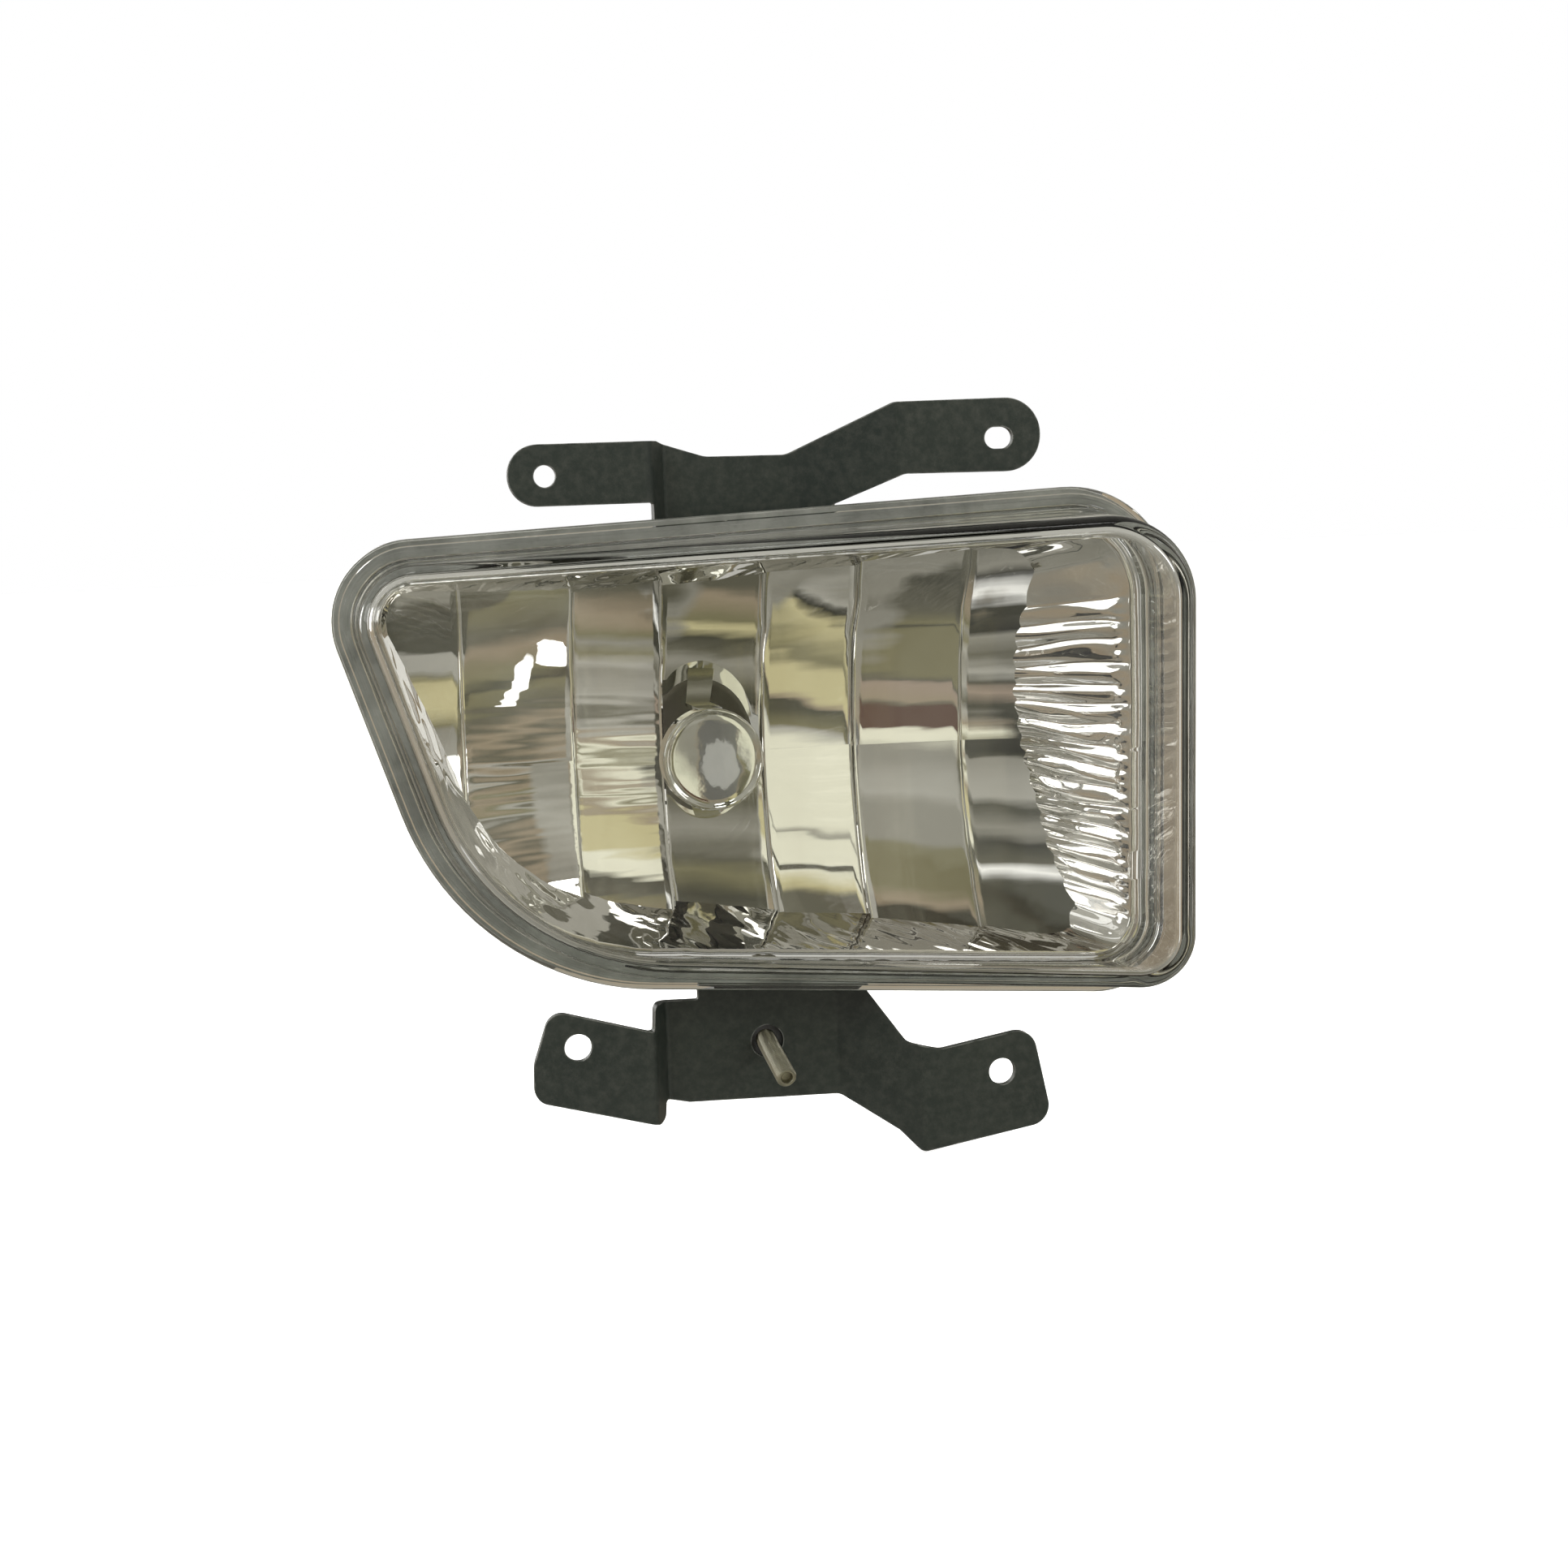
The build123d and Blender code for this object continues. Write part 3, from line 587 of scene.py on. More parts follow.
def make_pivot_bolt():
    """Bolt with a low round head and a threaded end."""
    left, right = -FORK_HALF, FORK_HALF
    profile = [(left - 2.8, 0.01), (left - 2.8, 3.3), (left - 2.4, 4.1), (left - 1.6, 4.55)]
    profile += [(left, 4.6), (left, 2.5), (right - 3.0, 2.5)]
    threads = threaded_profile(2.48, -(right + 5.5), -(right - 2.5))
    profile += [(-along, radius) for along, radius in reversed(threads)]
    profile += [(right + 6.0, 1.9), (right + 6.0, 0.01)]
    bm = bmesh.new()
    close_ends(bm, join_rings(bm, turned_rings(profile, PIVOT, Vector((1, 0, 0)), 40)))
    return new_object("pivot_bolt", bm, 50)


# ================================================================ node helpers
def wire(tree, source, target):
    tree.links.new(source, target)


def add(tree, kind, settings=(), values=()):
    """A node with its settings and the values of its unlinked inputs."""
    node = tree.nodes.new(kind)
    for label, value in settings:
        setattr(node, label, value)
    for label, value in values:
        node.inputs[label].default_value = value
    return node


def math_node(tree, operation, first, second=None, clamp=False):
    node = add(tree, "ShaderNodeMath", [("operation", operation), ("use_clamp", clamp)])
    for socket, value in zip(node.inputs, (first, second)):
        if value is None:
            continue
        if isinstance(value, bpy.types.NodeSocket):
            wire(tree, value, socket)
        else:
            socket.default_value = value
    return node.outputs[0]


def mix_color(tree, share, first, second):
    """Colour mix; each of the three may be a socket or a plain value."""
    node = add(tree, "ShaderNodeMix", [("data_type", "RGBA")])
    for socket, value in ((node.inputs[0], share), (node.inputs[6], first), (node.inputs[7], second)):
        if isinstance(value, bpy.types.NodeSocket):
            wire(tree, value, socket)
        else:
            socket.default_value = value
    return node.outputs[2]


def new_group(name, inputs, outputs):
    """An empty shader group with named sockets, and its input and output nodes."""
    tree = bpy.data.node_groups.new(name, "ShaderNodeTree")
    for label, kind, value in inputs:
        socket = tree.interface.new_socket(label, in_out="INPUT", socket_type=kind)
        socket.default_value = value
    for label, kind in outputs:
        tree.interface.new_socket(label, in_out="OUTPUT", socket_type=kind)
    return tree, tree.nodes.new("NodeGroupInput"), tree.nodes.new("NodeGroupOutput")


def place_group(tree, group, **values):
    """A group in a material, with this material's own values."""
    node = tree.nodes.new("ShaderNodeGroup")
    node.node_tree = group
    for label, value in values.items():
        node.inputs[label.replace("_", " ").title()].default_value = value
    return node


FLOAT = "NodeSocketFloat"


# ================================================================ shared surface effects
def make_grain_group():
    """Fine height of a moulded, coated or plated skin, at a cell size in metres."""
    tree, given, result = new_group("skin_grain", [("Cell", FLOAT, 0.0005)], [("Height", FLOAT)])
    coords = add(tree, "ShaderNodeTexCoord")
    scale = math_node(tree, "DIVIDE", 1.0, given.outputs["Cell"])
    cells = add(tree, "ShaderNodeTexVoronoi", [("feature", "SMOOTH_F1")], [("Smoothness", 0.7)])
    soft = add(tree, "ShaderNodeTexNoise", values=[("Detail", 3.0), ("Roughness", 0.6)])
    for node in (cells, soft):
        wire(tree, coords.outputs["Object"], node.inputs["Vector"])
        wire(tree, scale, node.inputs["Scale"])
    height = math_node(tree, "MULTIPLY", cells.outputs["Distance"], 0.6)
    height = math_node(tree, "ADD", height, math_node(tree, "MULTIPLY", soft.outputs["Fac"], 0.4))
    wire(tree, height, result.inputs["Height"])
    return tree


def make_blotch_group():
    """Broad uneven patches, from 0 to 1, at a patch size in metres."""
    sockets = [("Patch", FLOAT, 0.02), ("Contrast", FLOAT, 1.0)]
    tree, given, result = new_group("uneven_patches", sockets, [("Mask", FLOAT)])
    coords = add(tree, "ShaderNodeTexCoord")
    values = [("Detail", 5.0), ("Roughness", 0.62), ("Distortion", 0.6)]
    clouds = add(tree, "ShaderNodeTexNoise", values=values)
    wire(tree, coords.outputs["Object"], clouds.inputs["Vector"])
    wire(tree, math_node(tree, "DIVIDE", 1.0, given.outputs["Patch"]), clouds.inputs["Scale"])
    centred = math_node(tree, "SUBTRACT", clouds.outputs["Fac"], 0.5)
    spread = math_node(tree, "MULTIPLY", centred, given.outputs["Contrast"])
    wire(tree, math_node(tree, "ADD", spread, 0.5, clamp=True), result.inputs["Mask"])
    return tree


def make_wear_group():
    """Mask of rubbed edges: a width in metres and how much of the edge is rubbed."""
    sockets = [("Width", FLOAT, 0.0005), ("Amount", FLOAT, 0.5)]
    tree, given, result = new_group("edge_wear", sockets, [("Mask", FLOAT)])
    rounded = add(tree, "ShaderNodeBevel", [("samples", 4)])
    wire(tree, given.outputs["Width"], rounded.inputs["Radius"])
    plain = add(tree, "ShaderNodeNewGeometry")
    same = add(tree, "ShaderNodeVectorMath", [("operation", "DOT_PRODUCT")])
    wire(tree, rounded.outputs["Normal"], same.inputs[0])
    wire(tree, plain.outputs["Normal"], same.inputs[1])
    edge = math_node(tree, "SUBTRACT", 1.0, same.outputs["Value"])
    edge = math_node(tree, "MULTIPLY", edge, 5.0, clamp=True)
    coords = add(tree, "ShaderNodeTexCoord")
    broken = add(tree, "ShaderNodeTexNoise", values=[("Scale", 260.0), ("Detail", 4.0)])
    wire(tree, coords.outputs["Object"], broken.inputs["Vector"])
    threshold = math_node(tree, "SUBTRACT", 1.0, given.outputs["Amount"])
    patchy = math_node(tree, "SUBTRACT", broken.outputs["Fac"], math_node(tree, "MULTIPLY", threshold, 0.7))
    patchy = math_node(tree, "MULTIPLY", patchy, 6.0, clamp=True)
    wire(tree, math_node(tree, "MULTIPLY", edge, patchy), result.inputs["Mask"])
    return tree


def make_dust_group():
    """Mask of dust that lies on upward faces."""
    tree, given, result = new_group("settled_dust", [("Amount", FLOAT, 0.3)], [("Mask", FLOAT)])
    plain = add(tree, "ShaderNodeNewGeometry")
    split = add(tree, "ShaderNodeSeparateXYZ")
    wire(tree, plain.outputs["Normal"], split.inputs["Vector"])
    upward = math_node(tree, "ADD", math_node(tree, "MULTIPLY", split.outputs["Z"], 0.7), 0.3, clamp=True)
    coords = add(tree, "ShaderNodeTexCoord")
    specks = add(tree, "ShaderNodeTexNoise", values=[("Scale", 420.0), ("Detail", 6.0), ("Roughness", 0.75)])
    wire(tree, coords.outputs["Object"], specks.inputs["Vector"])
    above = math_node(tree, "SUBTRACT", specks.outputs["Fac"], 0.42)
    specks = math_node(tree, "MULTIPLY", above, 4.0, clamp=True)
    mask = math_node(tree, "MULTIPLY", math_node(tree, "MULTIPLY", upward, specks), given.outputs["Amount"])
    wire(tree, mask, result.inputs["Mask"])
    return tree


SKIN_GRAIN = make_grain_group()
UNEVEN_PATCHES = make_blotch_group()
EDGE_WEAR = make_wear_group()
SETTLED_DUST = make_dust_group()
DUST_COLOR = (0.20, 0.185, 0.155, 1)


# ================================================================ materials
def fresh_material(name):
    mat = bpy.data.materials.new(name)
    mat.use_nodes = True
    return mat, mat.node_tree, mat.node_tree.nodes["Principled BSDF"]


def opaque_finish(name, dark, light, metallic, rough, cell, relief, patch=0.02, worn=None, dust=0.2):
    """A skin with uneven tone, grain, rubbed edges and dust. rough is (smoothest, dullest)."""
    mat, tree, shader = fresh_material(name)
    shader.inputs["Metallic"].default_value = metallic
    blotch = place_group(tree, UNEVEN_PATCHES, patch=patch, contrast=1.6).outputs["Mask"]
    color = mix_color(tree, blotch, (*dark, 1), (*light, 1))
    if worn:
        rubbed, width, amount = worn
        wear = place_group(tree, EDGE_WEAR, width=width, amount=amount).outputs["Mask"]
        color = mix_color(tree, wear, color, (*rubbed, 1))
    lying = place_group(tree, SETTLED_DUST, amount=dust).outputs["Mask"]
    wire(tree, mix_color(tree, lying, color, DUST_COLOR), shader.inputs["Base Color"])
    spread = math_node(tree, "MULTIPLY", blotch, rough[1] - rough[0])
    dull = math_node(tree, "ADD", spread, rough[0])
    dusty = math_node(tree, "MULTIPLY", lying, 0.4)
    wire(tree, math_node(tree, "ADD", dull, dusty, clamp=True), shader.inputs["Roughness"])
    height = place_group(tree, SKIN_GRAIN, cell=cell).outputs["Height"]
    bump = add(tree, "ShaderNodeBump", values=[("Strength", 1.0), ("Distance", relief)])
    wire(tree, height, bump.inputs["Height"])
    wire(tree, bump.outputs["Normal"], shader.inputs["Normal"])
    return mat


def mirror_finish():
    """Vacuum-metallised skin, with a faint haze in patches."""
    mat, tree, shader = fresh_material("mirror_coat")
    shader.inputs["Metallic"].default_value = 1.0
    haze = place_group(tree, UNEVEN_PATCHES, patch=0.03, contrast=1.8).outputs["Mask"]
    color = mix_color(tree, haze, (0.885, 0.875, 0.85, 1), (0.82, 0.81, 0.78, 1))
    wire(tree, color, shader.inputs["Base Color"])
    smooth = math_node(tree, "ADD", math_node(tree, "MULTIPLY", haze, 0.014), 0.004)
    wire(tree, smooth, shader.inputs["Roughness"])
    return mat


def pressed_steel():
    """Plated sheet: polished in front, pale and satin on the side that faces backwards."""
    mat, tree, shader = fresh_material("bright_steel")
    blotch = place_group(tree, UNEVEN_PATCHES, patch=0.008, contrast=1.5).outputs["Mask"]
    plain = add(tree, "ShaderNodeNewGeometry")
    split = add(tree, "ShaderNodeSeparateXYZ")
    wire(tree, plain.outputs["Normal"], split.inputs["Vector"])
    rear = math_node(tree, "MULTIPLY", split.outputs["Y"], 2.0, clamp=True)
    front = mix_color(tree, blotch, (0.74, 0.74, 0.68, 1), (0.82, 0.82, 0.77, 1))
    wire(tree, mix_color(tree, rear, front, (0.72, 0.71, 0.66, 1)), shader.inputs["Base Color"])
    wire(tree, math_node(tree, "SUBTRACT", 1.0, rear), shader.inputs["Metallic"])
    dull = math_node(tree, "ADD", math_node(tree, "MULTIPLY", blotch, 0.03), 0.02)
    satin = math_node(tree, "MULTIPLY", rear, 0.6)
    wire(tree, math_node(tree, "ADD", dull, satin), shader.inputs["Roughness"])
    height = place_group(tree, SKIN_GRAIN, cell=0.005).outputs["Height"]
    bump = add(tree, "ShaderNodeBump", values=[("Strength", 1.0), ("Distance", 0.00004)])
    wire(tree, height, bump.inputs["Height"])
    wire(tree, bump.outputs["Normal"], shader.inputs["Normal"])
    return mat


def glass_finish(name, tint, wave, patch):
    """Clear glass with slight waves; light reaches what is behind it."""
    mat, tree, shader = fresh_material(name)
    shader.inputs["Transmission Weight"].default_value = 1.0
    shader.inputs["IOR"].default_value = 1.5
    film = place_group(tree, UNEVEN_PATCHES, patch=patch, contrast=2.0).outputs["Mask"]
    faint = tuple(0.975 * channel for channel in tint)
    wire(tree, mix_color(tree, film, (*tint, 1), (*faint, 1)), shader.inputs["Base Color"])
    wire(tree, math_node(tree, "MULTIPLY", film, 0.002), shader.inputs["Roughness"])
    waves = place_group(tree, SKIN_GRAIN, cell=0.016).outputs["Height"]
    bump = add(tree, "ShaderNodeBump", values=[("Strength", 1.0), ("Distance", wave)])
    wire(tree, waves, bump.inputs["Height"])
    wire(tree, bump.outputs["Normal"], shader.inputs["Normal"])
    clear = add(tree, "ShaderNodeBsdfTransparent", values=[("Color", (0.94, 0.95, 0.93, 1))])
    path = add(tree, "ShaderNodeLightPath")
    mix = add(tree, "ShaderNodeMixShader")
    wire(tree, path.outputs["Is Shadow Ray"], mix.inputs["Fac"])
    wire(tree, shader.outputs["BSDF"], mix.inputs[1])
    wire(tree, clear.outputs["BSDF"], mix.inputs[2])
    wire(tree, mix.outputs["Shader"], tree.nodes["Material Output"].inputs["Surface"])
    return mat


def make_finishes():
    """Every finish of the lamp, by the record's slot name."""
    steel_edge = (0.16, 0.16, 0.15)
    return {
        "lens_glass": glass_finish("lens_glass", (0.974, 0.974, 0.966), 0.00003, 0.05),
        "bulb_quartz": glass_finish("bulb_quartz", (0.98, 0.98, 0.98), 0.000005, 0.01),
        "mirror_coat": mirror_finish(),
        "bracket_paint": opaque_finish(
            "bracket_paint", (0.006, 0.010, 0.009), (0.014, 0.018, 0.0145), 0.0, (0.40, 0.58),
            0.0007, 0.00002, 0.03, (steel_edge, 0.0005, 0.45), 0.22),
        "zinc": opaque_finish(
            "zinc", (0.36, 0.35, 0.29), (0.55, 0.53, 0.42), 1.0, (0.30, 0.50),
            0.0004, 0.00001, 0.006, ((0.66, 0.65, 0.60), 0.0002, 0.6), 0.15),
        "bright_steel": pressed_steel(),
        "housing_plastic": opaque_finish(
            "housing_plastic", (0.012, 0.012, 0.013), (0.024, 0.024, 0.025), 0.0, (0.42, 0.62),
            0.00045, 0.00004, 0.04, ((0.06, 0.06, 0.06), 0.0005, 0.4), 0.1),
        "holder_plastic": opaque_finish(
            "holder_plastic", (0.030, 0.030, 0.032), (0.050, 0.050, 0.052), 0.0, (0.34, 0.5),
            0.0004, 0.00002, 0.02, ((0.10, 0.10, 0.10), 0.0003, 0.4), 0.15),
        "cap_rubber": opaque_finish(
            "cap_rubber", (0.010, 0.010, 0.010), (0.022, 0.022, 0.021), 0.0, (0.6, 0.8),
            0.0006, 0.00003, 0.01, None, 0.3),
        "sealant": opaque_finish(
            "sealant", (0.065, 0.066, 0.060), (0.30, 0.30, 0.275), 0.0, (0.3, 0.6),
            0.0018, 0.0002, 0.016, None, 0.1),
        "seal_silicone": opaque_finish(
            "seal_silicone", (0.26, 0.05, 0.025), (0.36, 0.08, 0.04), 0.0, (0.4, 0.55),
            0.0005, 0.00002, 0.01, None, 0.1),
        "bush_nylon": opaque_finish(
            "bush_nylon", (0.50, 0.48, 0.41), (0.60, 0.58, 0.50), 0.0, (0.36, 0.5),
            0.0005, 0.00002, 0.01, None, 0.25),
        "tinned_brass": opaque_finish(
            "tinned_brass", (0.55, 0.50, 0.38), (0.72, 0.68, 0.56), 1.0, (0.24, 0.4),
            0.0004, 0.000008, 0.004, ((0.60, 0.44, 0.20), 0.0002, 0.4), 0.0),
        "lead_wire": opaque_finish(
            "lead_wire", (0.50, 0.50, 0.49), (0.62, 0.62, 0.60), 1.0, (0.25, 0.4),
            0.0003, 0.000004, 0.004, None, 0.0),
        "tungsten": opaque_finish(
            "tungsten", (0.20, 0.20, 0.205), (0.32, 0.32, 0.325), 1.0, (0.35, 0.5),
            0.0002, 0.000003, 0.002, None, 0.0),
    }


# ================================================================ camera, lights, room, floor
CAMERA_AZIMUTH = -11.0
CAMERA_ELEVATION = 6.0
CAMERA_ROLL = 2.2
CAMERA_DISTANCE = 0.65
CAMERA_LENS = 62.98
AIM_POINT = (13.5, -5.0, -5.0)

# The room round the lamp, which its mirror shows. Azimuth 0 is straight out of the lamp, + to
# its right, in degrees. Each strip is (azimuth, half width, slant, (elevation, tone) pairs).
BLACK, DARK, DUSK = (0.020, 0.020, 0.016), (0.060, 0.060, 0.044), (0.125, 0.12, 0.088)
OLIVE, TAN, GRAY = (0.22, 0.205, 0.115), (0.37, 0.305, 0.215), (0.315, 0.307, 0.262)
PALE, CREAM, IVORY = (0.47, 0.462, 0.41), (0.68, 0.62, 0.35), (0.98, 0.97, 0.78)
MAROON, ROSE, WHITE = (0.110, 0.055, 0.040), (0.40, 0.32, 0.25), (1.25, 1.25, 1.2)
STRIPS = [
    (50, 6, 0.3, [
        (-46, DUSK), (-34, DARK), (-31.5, DARK), (-31, PALE), (-26, PALE), (-25, OLIVE),
        (-24, CREAM), (-19, CREAM), (-16, OLIVE), (-15, GRAY), (-9, PALE), (0, PALE), (2, GRAY),
        (14, PALE), (28, GRAY),
    ]),
    (31, 3.6, 1.0, [
        (-46, GRAY), (-38, PALE), (-33, GRAY), (-27, DARK), (-24, GRAY), (-18, PALE), (-6, GRAY),
        (6, PALE), (20, GRAY), (27, DUSK), (30, PALE), (38, GRAY),
    ]),
    (38.5, 7.5, -0.5, [
        (-46, OLIVE), (-36, DUSK), (-32, TAN), (-26, OLIVE), (-24, DARK), (-22, OLIVE),
        (-16, DUSK), (-12, TAN), (-9, DUSK), (-6, TAN), (-2, PALE), (0, DUSK), (3, TAN),
        (6, OLIVE), (9, PALE), (11, DUSK), (15, TAN), (19, DUSK), (22, TAN), (27, DUSK),
        (34, GRAY),
    ]),
    (-12, 4.2, 0.4, [
        (-46, DUSK), (-41, TAN), (-38, OLIVE), (-35, GRAY), (-32, OLIVE), (-29, PALE), (-26, GRAY),
        (-20, PALE), (-17, DUSK), (-14, PALE), (-11, TAN), (-9, IVORY), (-6, OLIVE), (-4, IVORY),
        (-1, TAN), (1, IVORY), (3, OLIVE), (5, IVORY), (8, TAN), (10, CREAM), (16, CREAM),
        (19, IVORY), (22, IVORY), (23, DARK), (26, DUSK), (28, OLIVE), (34, TAN), (38, DUSK),
    ]),
    (-4.5, 3.3, 0.5, [
        (-46, DUSK), (-44, TAN), (-38, OLIVE), (-36, CREAM), (-34, DARK), (-31, DUSK), (-29, GRAY),
        (-24, DUSK), (-21, DARK), (-19, BLACK), (-17, GRAY), (-4, OLIVE), (8, DUSK), (14, GRAY),
        (20, DUSK), (24, OLIVE), (30, DARK), (36, DUSK),
    ]),
    (21, 6, 1.6, [
        (-52, GRAY), (-46, PALE), (-38, GRAY), (-35.5, PALE), (-35, BLACK), (-34, BLACK),
        (-33.4, CREAM), (-29, OLIVE), (-27, CREAM), (-22, CREAM), (-20.5, TAN), (-20, DARK),
        (-14, OLIVE), (-13, PALE), (-9, IVORY), (-6, IVORY), (2, IVORY), (18, IVORY), (19.5, GRAY),
        (20.5, IVORY), (28, IVORY), (28.8, DARK), (30.5, DUSK), (31, IVORY), (35, CREAM),
        (37, DUSK),
    ]),
    (3.4, 4.6, 0.8, [
        (-50, DUSK), (-44, DARK), (-39, DUSK), (-36.5, OLIVE), (-36, DARK), (-35, OLIVE),
        (-25, OLIVE), (-24, DUSK), (-23, ROSE), (-19, TAN), (-18, DUSK), (-17.5, MAROON),
        (-11, MAROON), (-10.5, IVORY), (-8, IVORY), (-2, GRAY), (10, PALE), (14, GRAY), (22, GRAY),
        (24, OLIVE), (33, OLIVE), (36, TAN), (38, DARK),
    ]),
    (-20.5, 5.6, 1.2, [
        (-50, DARK), (-42, GRAY), (-39, BLACK), (-36, WHITE), (-34, DARK), (-28, BLACK),
        (-26, GRAY), (-20, DUSK), (-17, PALE), (-15, DARK), (-12, ROSE), (-9, DARK), (3, BLACK),
        (5, DARK), (6, GRAY), (14, PALE), (17, DARK), (22, GRAY), (25, BLACK), (31, DUSK),
        (33, WHITE), (36, DARK),
    ]),
]
# Lamps and windows: azimuth, elevation, half width, half height, brightness.
SPOTS = [
    (46.5, -6, 2.2, 4, 3.0), (34, -31, 2.6, 2.8, 3.5), (37.5, -24, 1.0, 6, 2.0),
    (30, 26, 3.0, 4.0, 4.5), (11.5, -6, 3.8, 9, 0.17), (11.5, -7, 3.2, 3.6, 0.5),
    (-79, 12, 15, 9, 2.4), (-70, 44, 14, 4, 1.2), (-88, -36, 12, 4, 0.9), (-74, -14, 6, 5, 0.05),
    (-45, 10, 5, 10, 1.6), (-168, 8, 9, 16, 4.0), (-118, 5, 10, 13, 3.0), (78, 30, 9, 12, 2.2),
    (10, 68, 18, 5, 3.0), (-30, 62, 8, 5, 2.5), (75, -6, 6, 14, 1.1), (20, -66, 20, 6, 0.7),
]
ROOM_TONES = [(-90, DUSK), (-35, GRAY), (-8, TAN), (5, GRAY), (30, PALE), (90, PALE)]
ROOM_SPAN = 90.0
CLUTTER = [(6.0, 9.0), (24.0, 2.2), (70.0, 0.7)]     # (fineness, how far it bends the tones)
CLUTTER_SIDEWAYS = 0.4      # share of that bend that goes sideways
STRIP_EDGE = 1.2            # sharpness of the strips' and of the spots' edges
SPOT_EDGE = 3.0
SPOT_POWER = 4.0            # rounds off the spots' corners
FLOOR_GLOW = 0.72           # lifts the floor to plain white in view

# Studio lights: name, azimuth, elevation, distance, size, power, colour.
LIGHTS = [
    ("key", -35, 45, 0.9, (0.5, 0.5), 9, (1, 1, 1)),
    ("fill", 45, 15, 0.9, (0.35, 0.6), 5, (1.0, 0.98, 0.94)),
    ("back", 170, 50, 1.0, (0.8, 0.4), 9, (1, 1, 1)),
]


def heading(azimuth, elevation):
    """Unit vector of a direction round the lamp."""
    a, e = math.radians(azimuth), math.radians(elevation)
    return Vector((math.sin(a) * math.cos(e), -math.cos(a) * math.cos(e), math.sin(e)))


def make_camera():
    back = heading(CAMERA_AZIMUTH, CAMERA_ELEVATION)
    camera = link(bpy.data.objects.new("camera", bpy.data.cameras.new("camera")))
    camera.data.lens = CAMERA_LENS
    camera.data.sensor_width = 36
    camera.data.clip_start = 0.01
    camera.data.clip_end = 50
    camera.location = lamp_point(*AIM_POINT) + back * CAMERA_DISTANCE
    roll = Matrix.Rotation(math.radians(-CAMERA_ROLL), 3, "Z").to_quaternion()
    camera.rotation_mode = "QUATERNION"
    camera.rotation_quaternion = (-back).to_track_quat("-Z", "Y") @ roll
    bpy.context.scene.camera = camera
    bpy.context.scene.view_settings.view_transform = "Standard"


def area_light(name, azimuth, elevation, distance, size, power, color):
    light = bpy.data.lights.new(name, "AREA")
    light.shape = "RECTANGLE"
    light.size, light.size_y = size
    light.energy = power
    light.color = color
    lamp = link(bpy.data.objects.new(name, light))
    towards = heading(azimuth, elevation)
    lamp.location = lamp_point(*AIM_POINT) + towards * distance
    lamp.rotation_mode = "QUATERNION"
    lamp.rotation_quaternion = (-towards).to_track_quat("-Z", "Y")
    lamp.visible_glossy = False
    lamp.visible_transmission = False


def tone_ramp(tree, elevation, tones):
    """Colour by elevation in degrees."""
    place = math_node(tree, "ADD", math_node(tree, "DIVIDE", elevation, 2 * ROOM_SPAN), 0.5)
    node = add(tree, "ShaderNodeValToRGB")
    elements = node.color_ramp.elements
    while len(elements) < len(tones):
        elements.new(1.0)
    for element, (degrees, tone) in zip(elements, tones):
        element.position = degrees / (2 * ROOM_SPAN) + 0.5
        element.color = (*tone, 1)
    wire(tree, place, node.inputs["Fac"])
    return node.outputs["Color"]


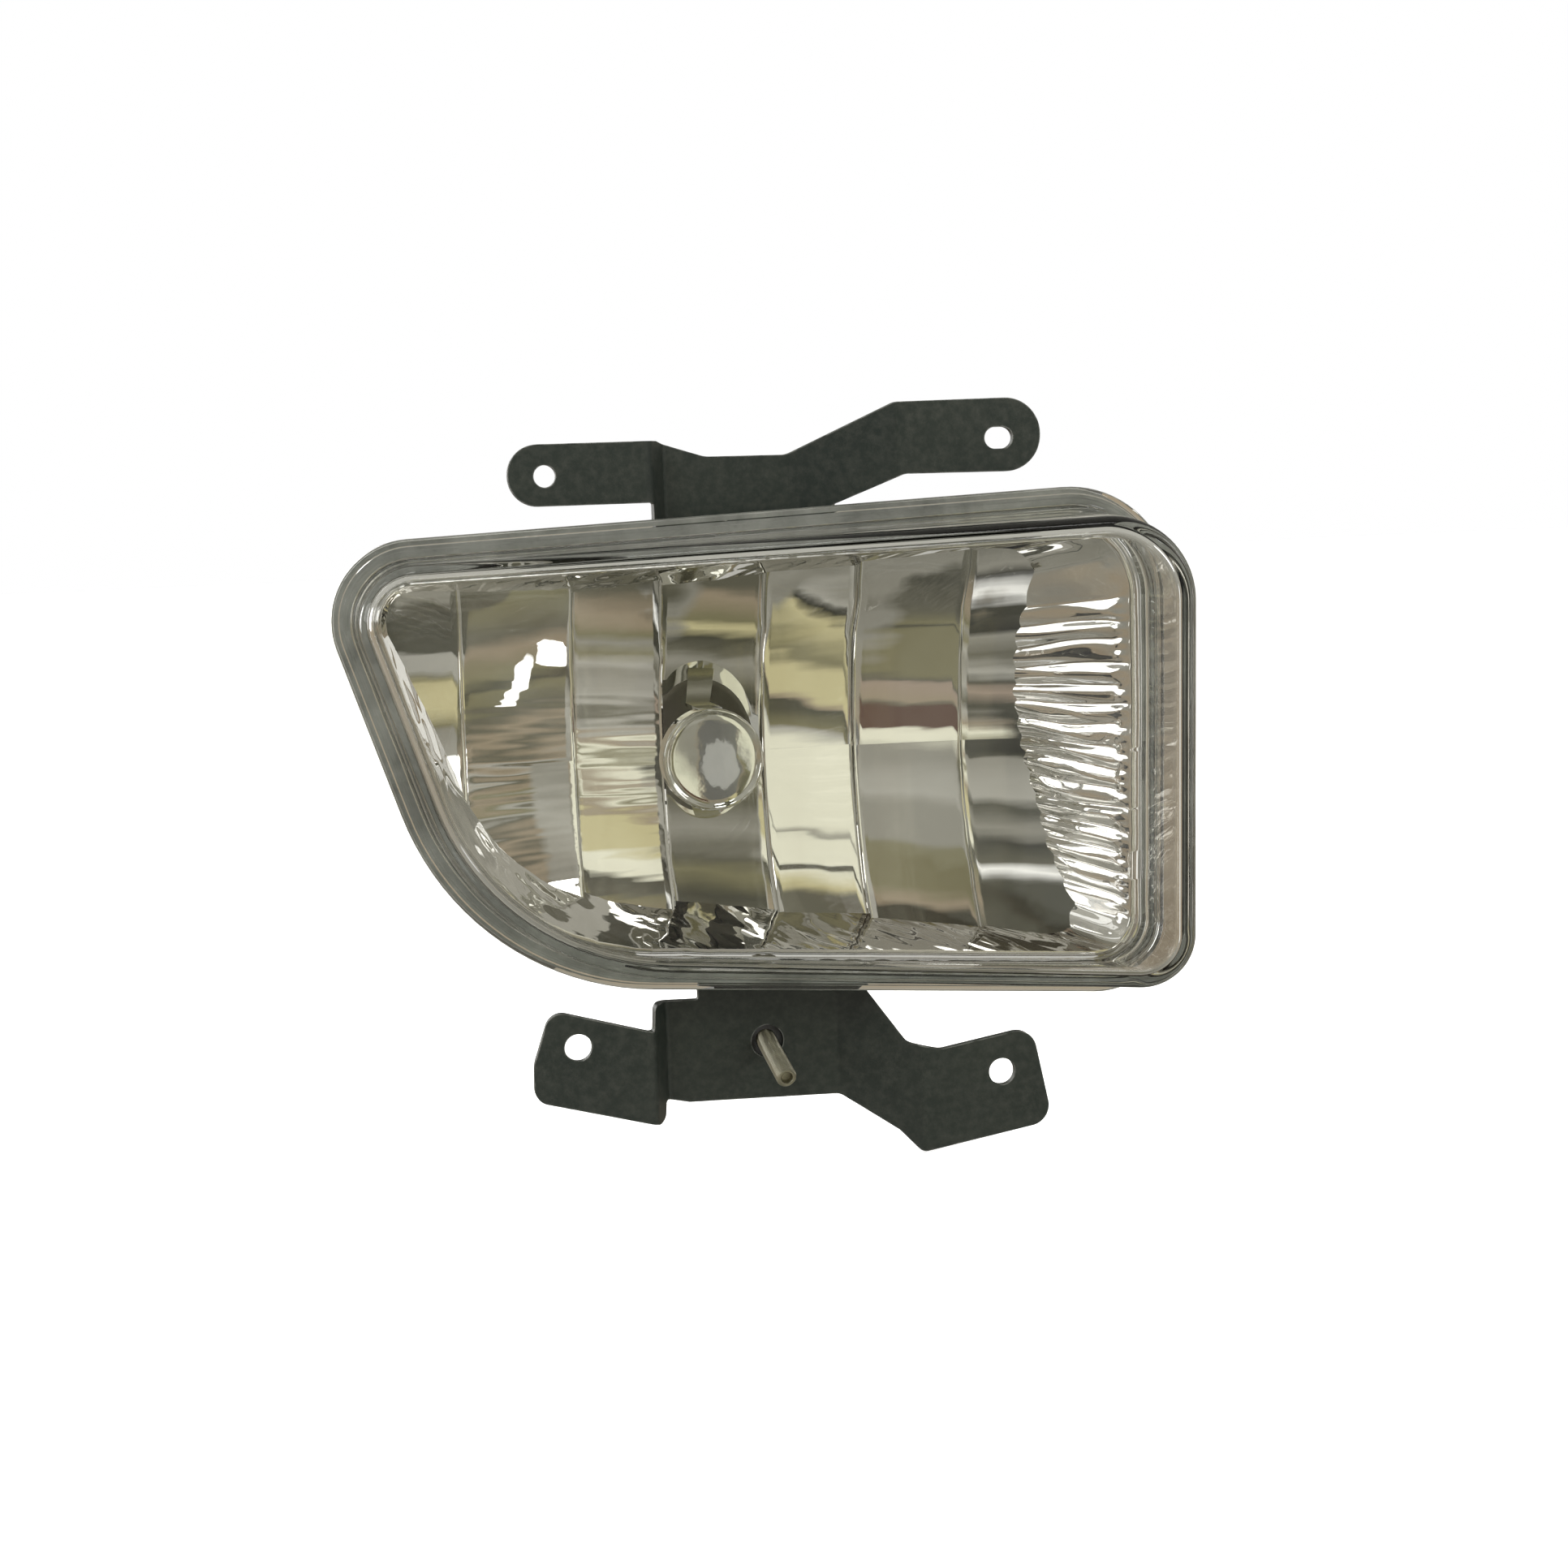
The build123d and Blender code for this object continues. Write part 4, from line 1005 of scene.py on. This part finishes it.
def make_world():
    """A quiet room that only the lamp mirrors; the camera itself sees plain white."""
    world = bpy.data.worlds.new("room")
    bpy.context.scene.world = world
    world.use_nodes = True
    tree = world.node_tree
    room = tree.nodes["Background"]
    coords = add(tree, "ShaderNodeTexCoord")
    split = add(tree, "ShaderNodeSeparateXYZ")
    wire(tree, coords.outputs["Generated"], split.inputs["Vector"])
    ahead = math_node(tree, "MULTIPLY", split.outputs["Y"], -1.0)
    azimuth = math_node(tree, "ARCTAN2", split.outputs["X"], ahead)
    azimuth = math_node(tree, "MULTIPLY", azimuth, 180 / math.pi)
    elevation = math_node(tree, "MULTIPLY", math_node(tree, "ARCSINE", split.outputs["Z"]), 180 / math.pi)
    for scale, sway in CLUTTER:
        clutter = add(tree, "ShaderNodeTexNoise", values=[("Scale", scale), ("Detail", 2.0)])
        wire(tree, coords.outputs["Generated"], clutter.inputs["Vector"])
        parts = add(tree, "ShaderNodeSeparateColor")
        wire(tree, clutter.outputs["Color"], parts.inputs["Color"])
        sideways = math_node(tree, "SUBTRACT", parts.outputs["Red"], 0.5)
        sideways = math_node(tree, "MULTIPLY", sideways, sway * CLUTTER_SIDEWAYS)
        azimuth = math_node(tree, "ADD", azimuth, sideways)
        upright = math_node(tree, "SUBTRACT", parts.outputs["Green"], 0.5)
        elevation = math_node(tree, "ADD", elevation, math_node(tree, "MULTIPLY", upright, sway))
    color = tone_ramp(tree, elevation, ROOM_TONES)
    for middle, half, slant, tones in STRIPS:
        aside = math_node(tree, "SUBTRACT", azimuth, float(middle))
        slanted = math_node(tree, "ADD", elevation, math_node(tree, "MULTIPLY", aside, slant))
        edge = math_node(tree, "SUBTRACT", float(half), math_node(tree, "ABSOLUTE", aside))
        mask = math_node(tree, "MULTIPLY", edge, STRIP_EDGE, clamp=True)
        color = mix_color(tree, mask, color, tone_ramp(tree, slanted, tones))
    for spot_azimuth, spot_elevation, width, height, brightness in SPOTS:
        reaches = []
        for place, middle, half in ((azimuth, spot_azimuth, width), (elevation, spot_elevation, height)):
            aside = math_node(tree, "SUBTRACT", place, float(middle))
            aside = math_node(tree, "DIVIDE", aside, float(half))
            aside = math_node(tree, "ABSOLUTE", aside)
            reaches.append(math_node(tree, "POWER", aside, SPOT_POWER))
        inside = math_node(tree, "SUBTRACT", 1.0, math_node(tree, "ADD", *reaches))
        mask = math_node(tree, "MULTIPLY", inside, SPOT_EDGE, clamp=True)
        color = mix_color(tree, mask, color, (brightness, brightness, 0.97 * brightness, 1))
    wire(tree, color, room.inputs["Color"])
    white = add(tree, "ShaderNodeBackground", values=[("Color", (1, 1, 1, 1)), ("Strength", 1.0)])
    path = add(tree, "ShaderNodeLightPath")
    mix = add(tree, "ShaderNodeMixShader")
    wire(tree, path.outputs["Is Camera Ray"], mix.inputs["Fac"])
    wire(tree, room.outputs["Background"], mix.inputs[1])
    wire(tree, white.outputs["Background"], mix.inputs[2])
    wire(tree, mix.outputs["Shader"], tree.nodes["World Output"].inputs["Surface"])


def make_floor():
    low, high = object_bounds()
    bm = bmesh.new()
    bmesh.ops.create_grid(bm, x_segments=1, y_segments=1, size=6)
    mesh = bpy.data.meshes.new("floor")
    bm.to_mesh(mesh)
    bm.free()
    floor = link(bpy.data.objects.new("floor", mesh))
    floor.location = (0, 0, low.z - 0.0005)
    floor.visible_glossy = False
    floor.visible_transmission = False
    mat, tree, shader = fresh_material("pale_floor")
    shader.inputs["Base Color"].default_value = (0.85, 0.85, 0.84, 1)
    shader.inputs["Roughness"].default_value = 0.9
    shader.inputs["Emission Color"].default_value = (1, 1, 1, 1)
    path = add(tree, "ShaderNodeLightPath")
    glow = math_node(tree, "MULTIPLY", path.outputs["Is Camera Ray"], FLOOR_GLOW)
    wire(tree, glow, shader.inputs["Emission Strength"])
    mesh.materials.append(mat)


def rounded_edges(obj, width):
    """Breaks a pressed or moulded part's sharp edges."""
    soft = obj.modifiers.new("broken_edges", "BEVEL")
    soft.width = width * MM
    soft.segments = 2
    soft.limit_method = "ANGLE"
    soft.angle_limit = math.radians(50)
    soft.harden_normals = False


# ================================================================ build
make_camera()
make_world()
for light_row in LIGHTS:
    area_light(*light_row)

finishes = make_finishes()

# Pieces made here, as (piece, CAD node it stands for, body, slot).
PIECES = [
    (make_lens(), "lens", "lamp", "lens_glass"),
    (make_reflector(), "reflector", "lamp", "mirror_coat"),
    (make_shield(), "bulb_shield", "lamp", "bright_steel"),
    (make_coil(), "filament", "bulb", "tungsten"),
    (make_aim_screw(), "aim_screw", "adjuster", "zinc"),
    (make_pivot_bolt(), "pivot_pin", "brackets", "zinc"),
]
for piece, node, body, slot in PIECES:
    piece.data.materials.clear()
    piece.data.materials.append(finishes[slot])
    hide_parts(node)
    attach(piece, body)

replaced = {node for _, node, _, _ in PIECES}
for subpart in frame["record"]["subparts"]:
    node = subpart["node"]
    if node not in replaced:
        obj = frame["nodes"][node]
        obj.data.materials.clear()
        obj.data.materials.append(finishes[subpart["material_slot"]])

EDGE_WIDTHS = {"upper_bracket": 0.3, "lower_bracket": 0.3, "pivot_yoke": 0.3, "bulb_holder": 0.25}
for node, width in EDGE_WIDTHS.items():
    rounded_edges(frame["nodes"][node], width)

make_floor()
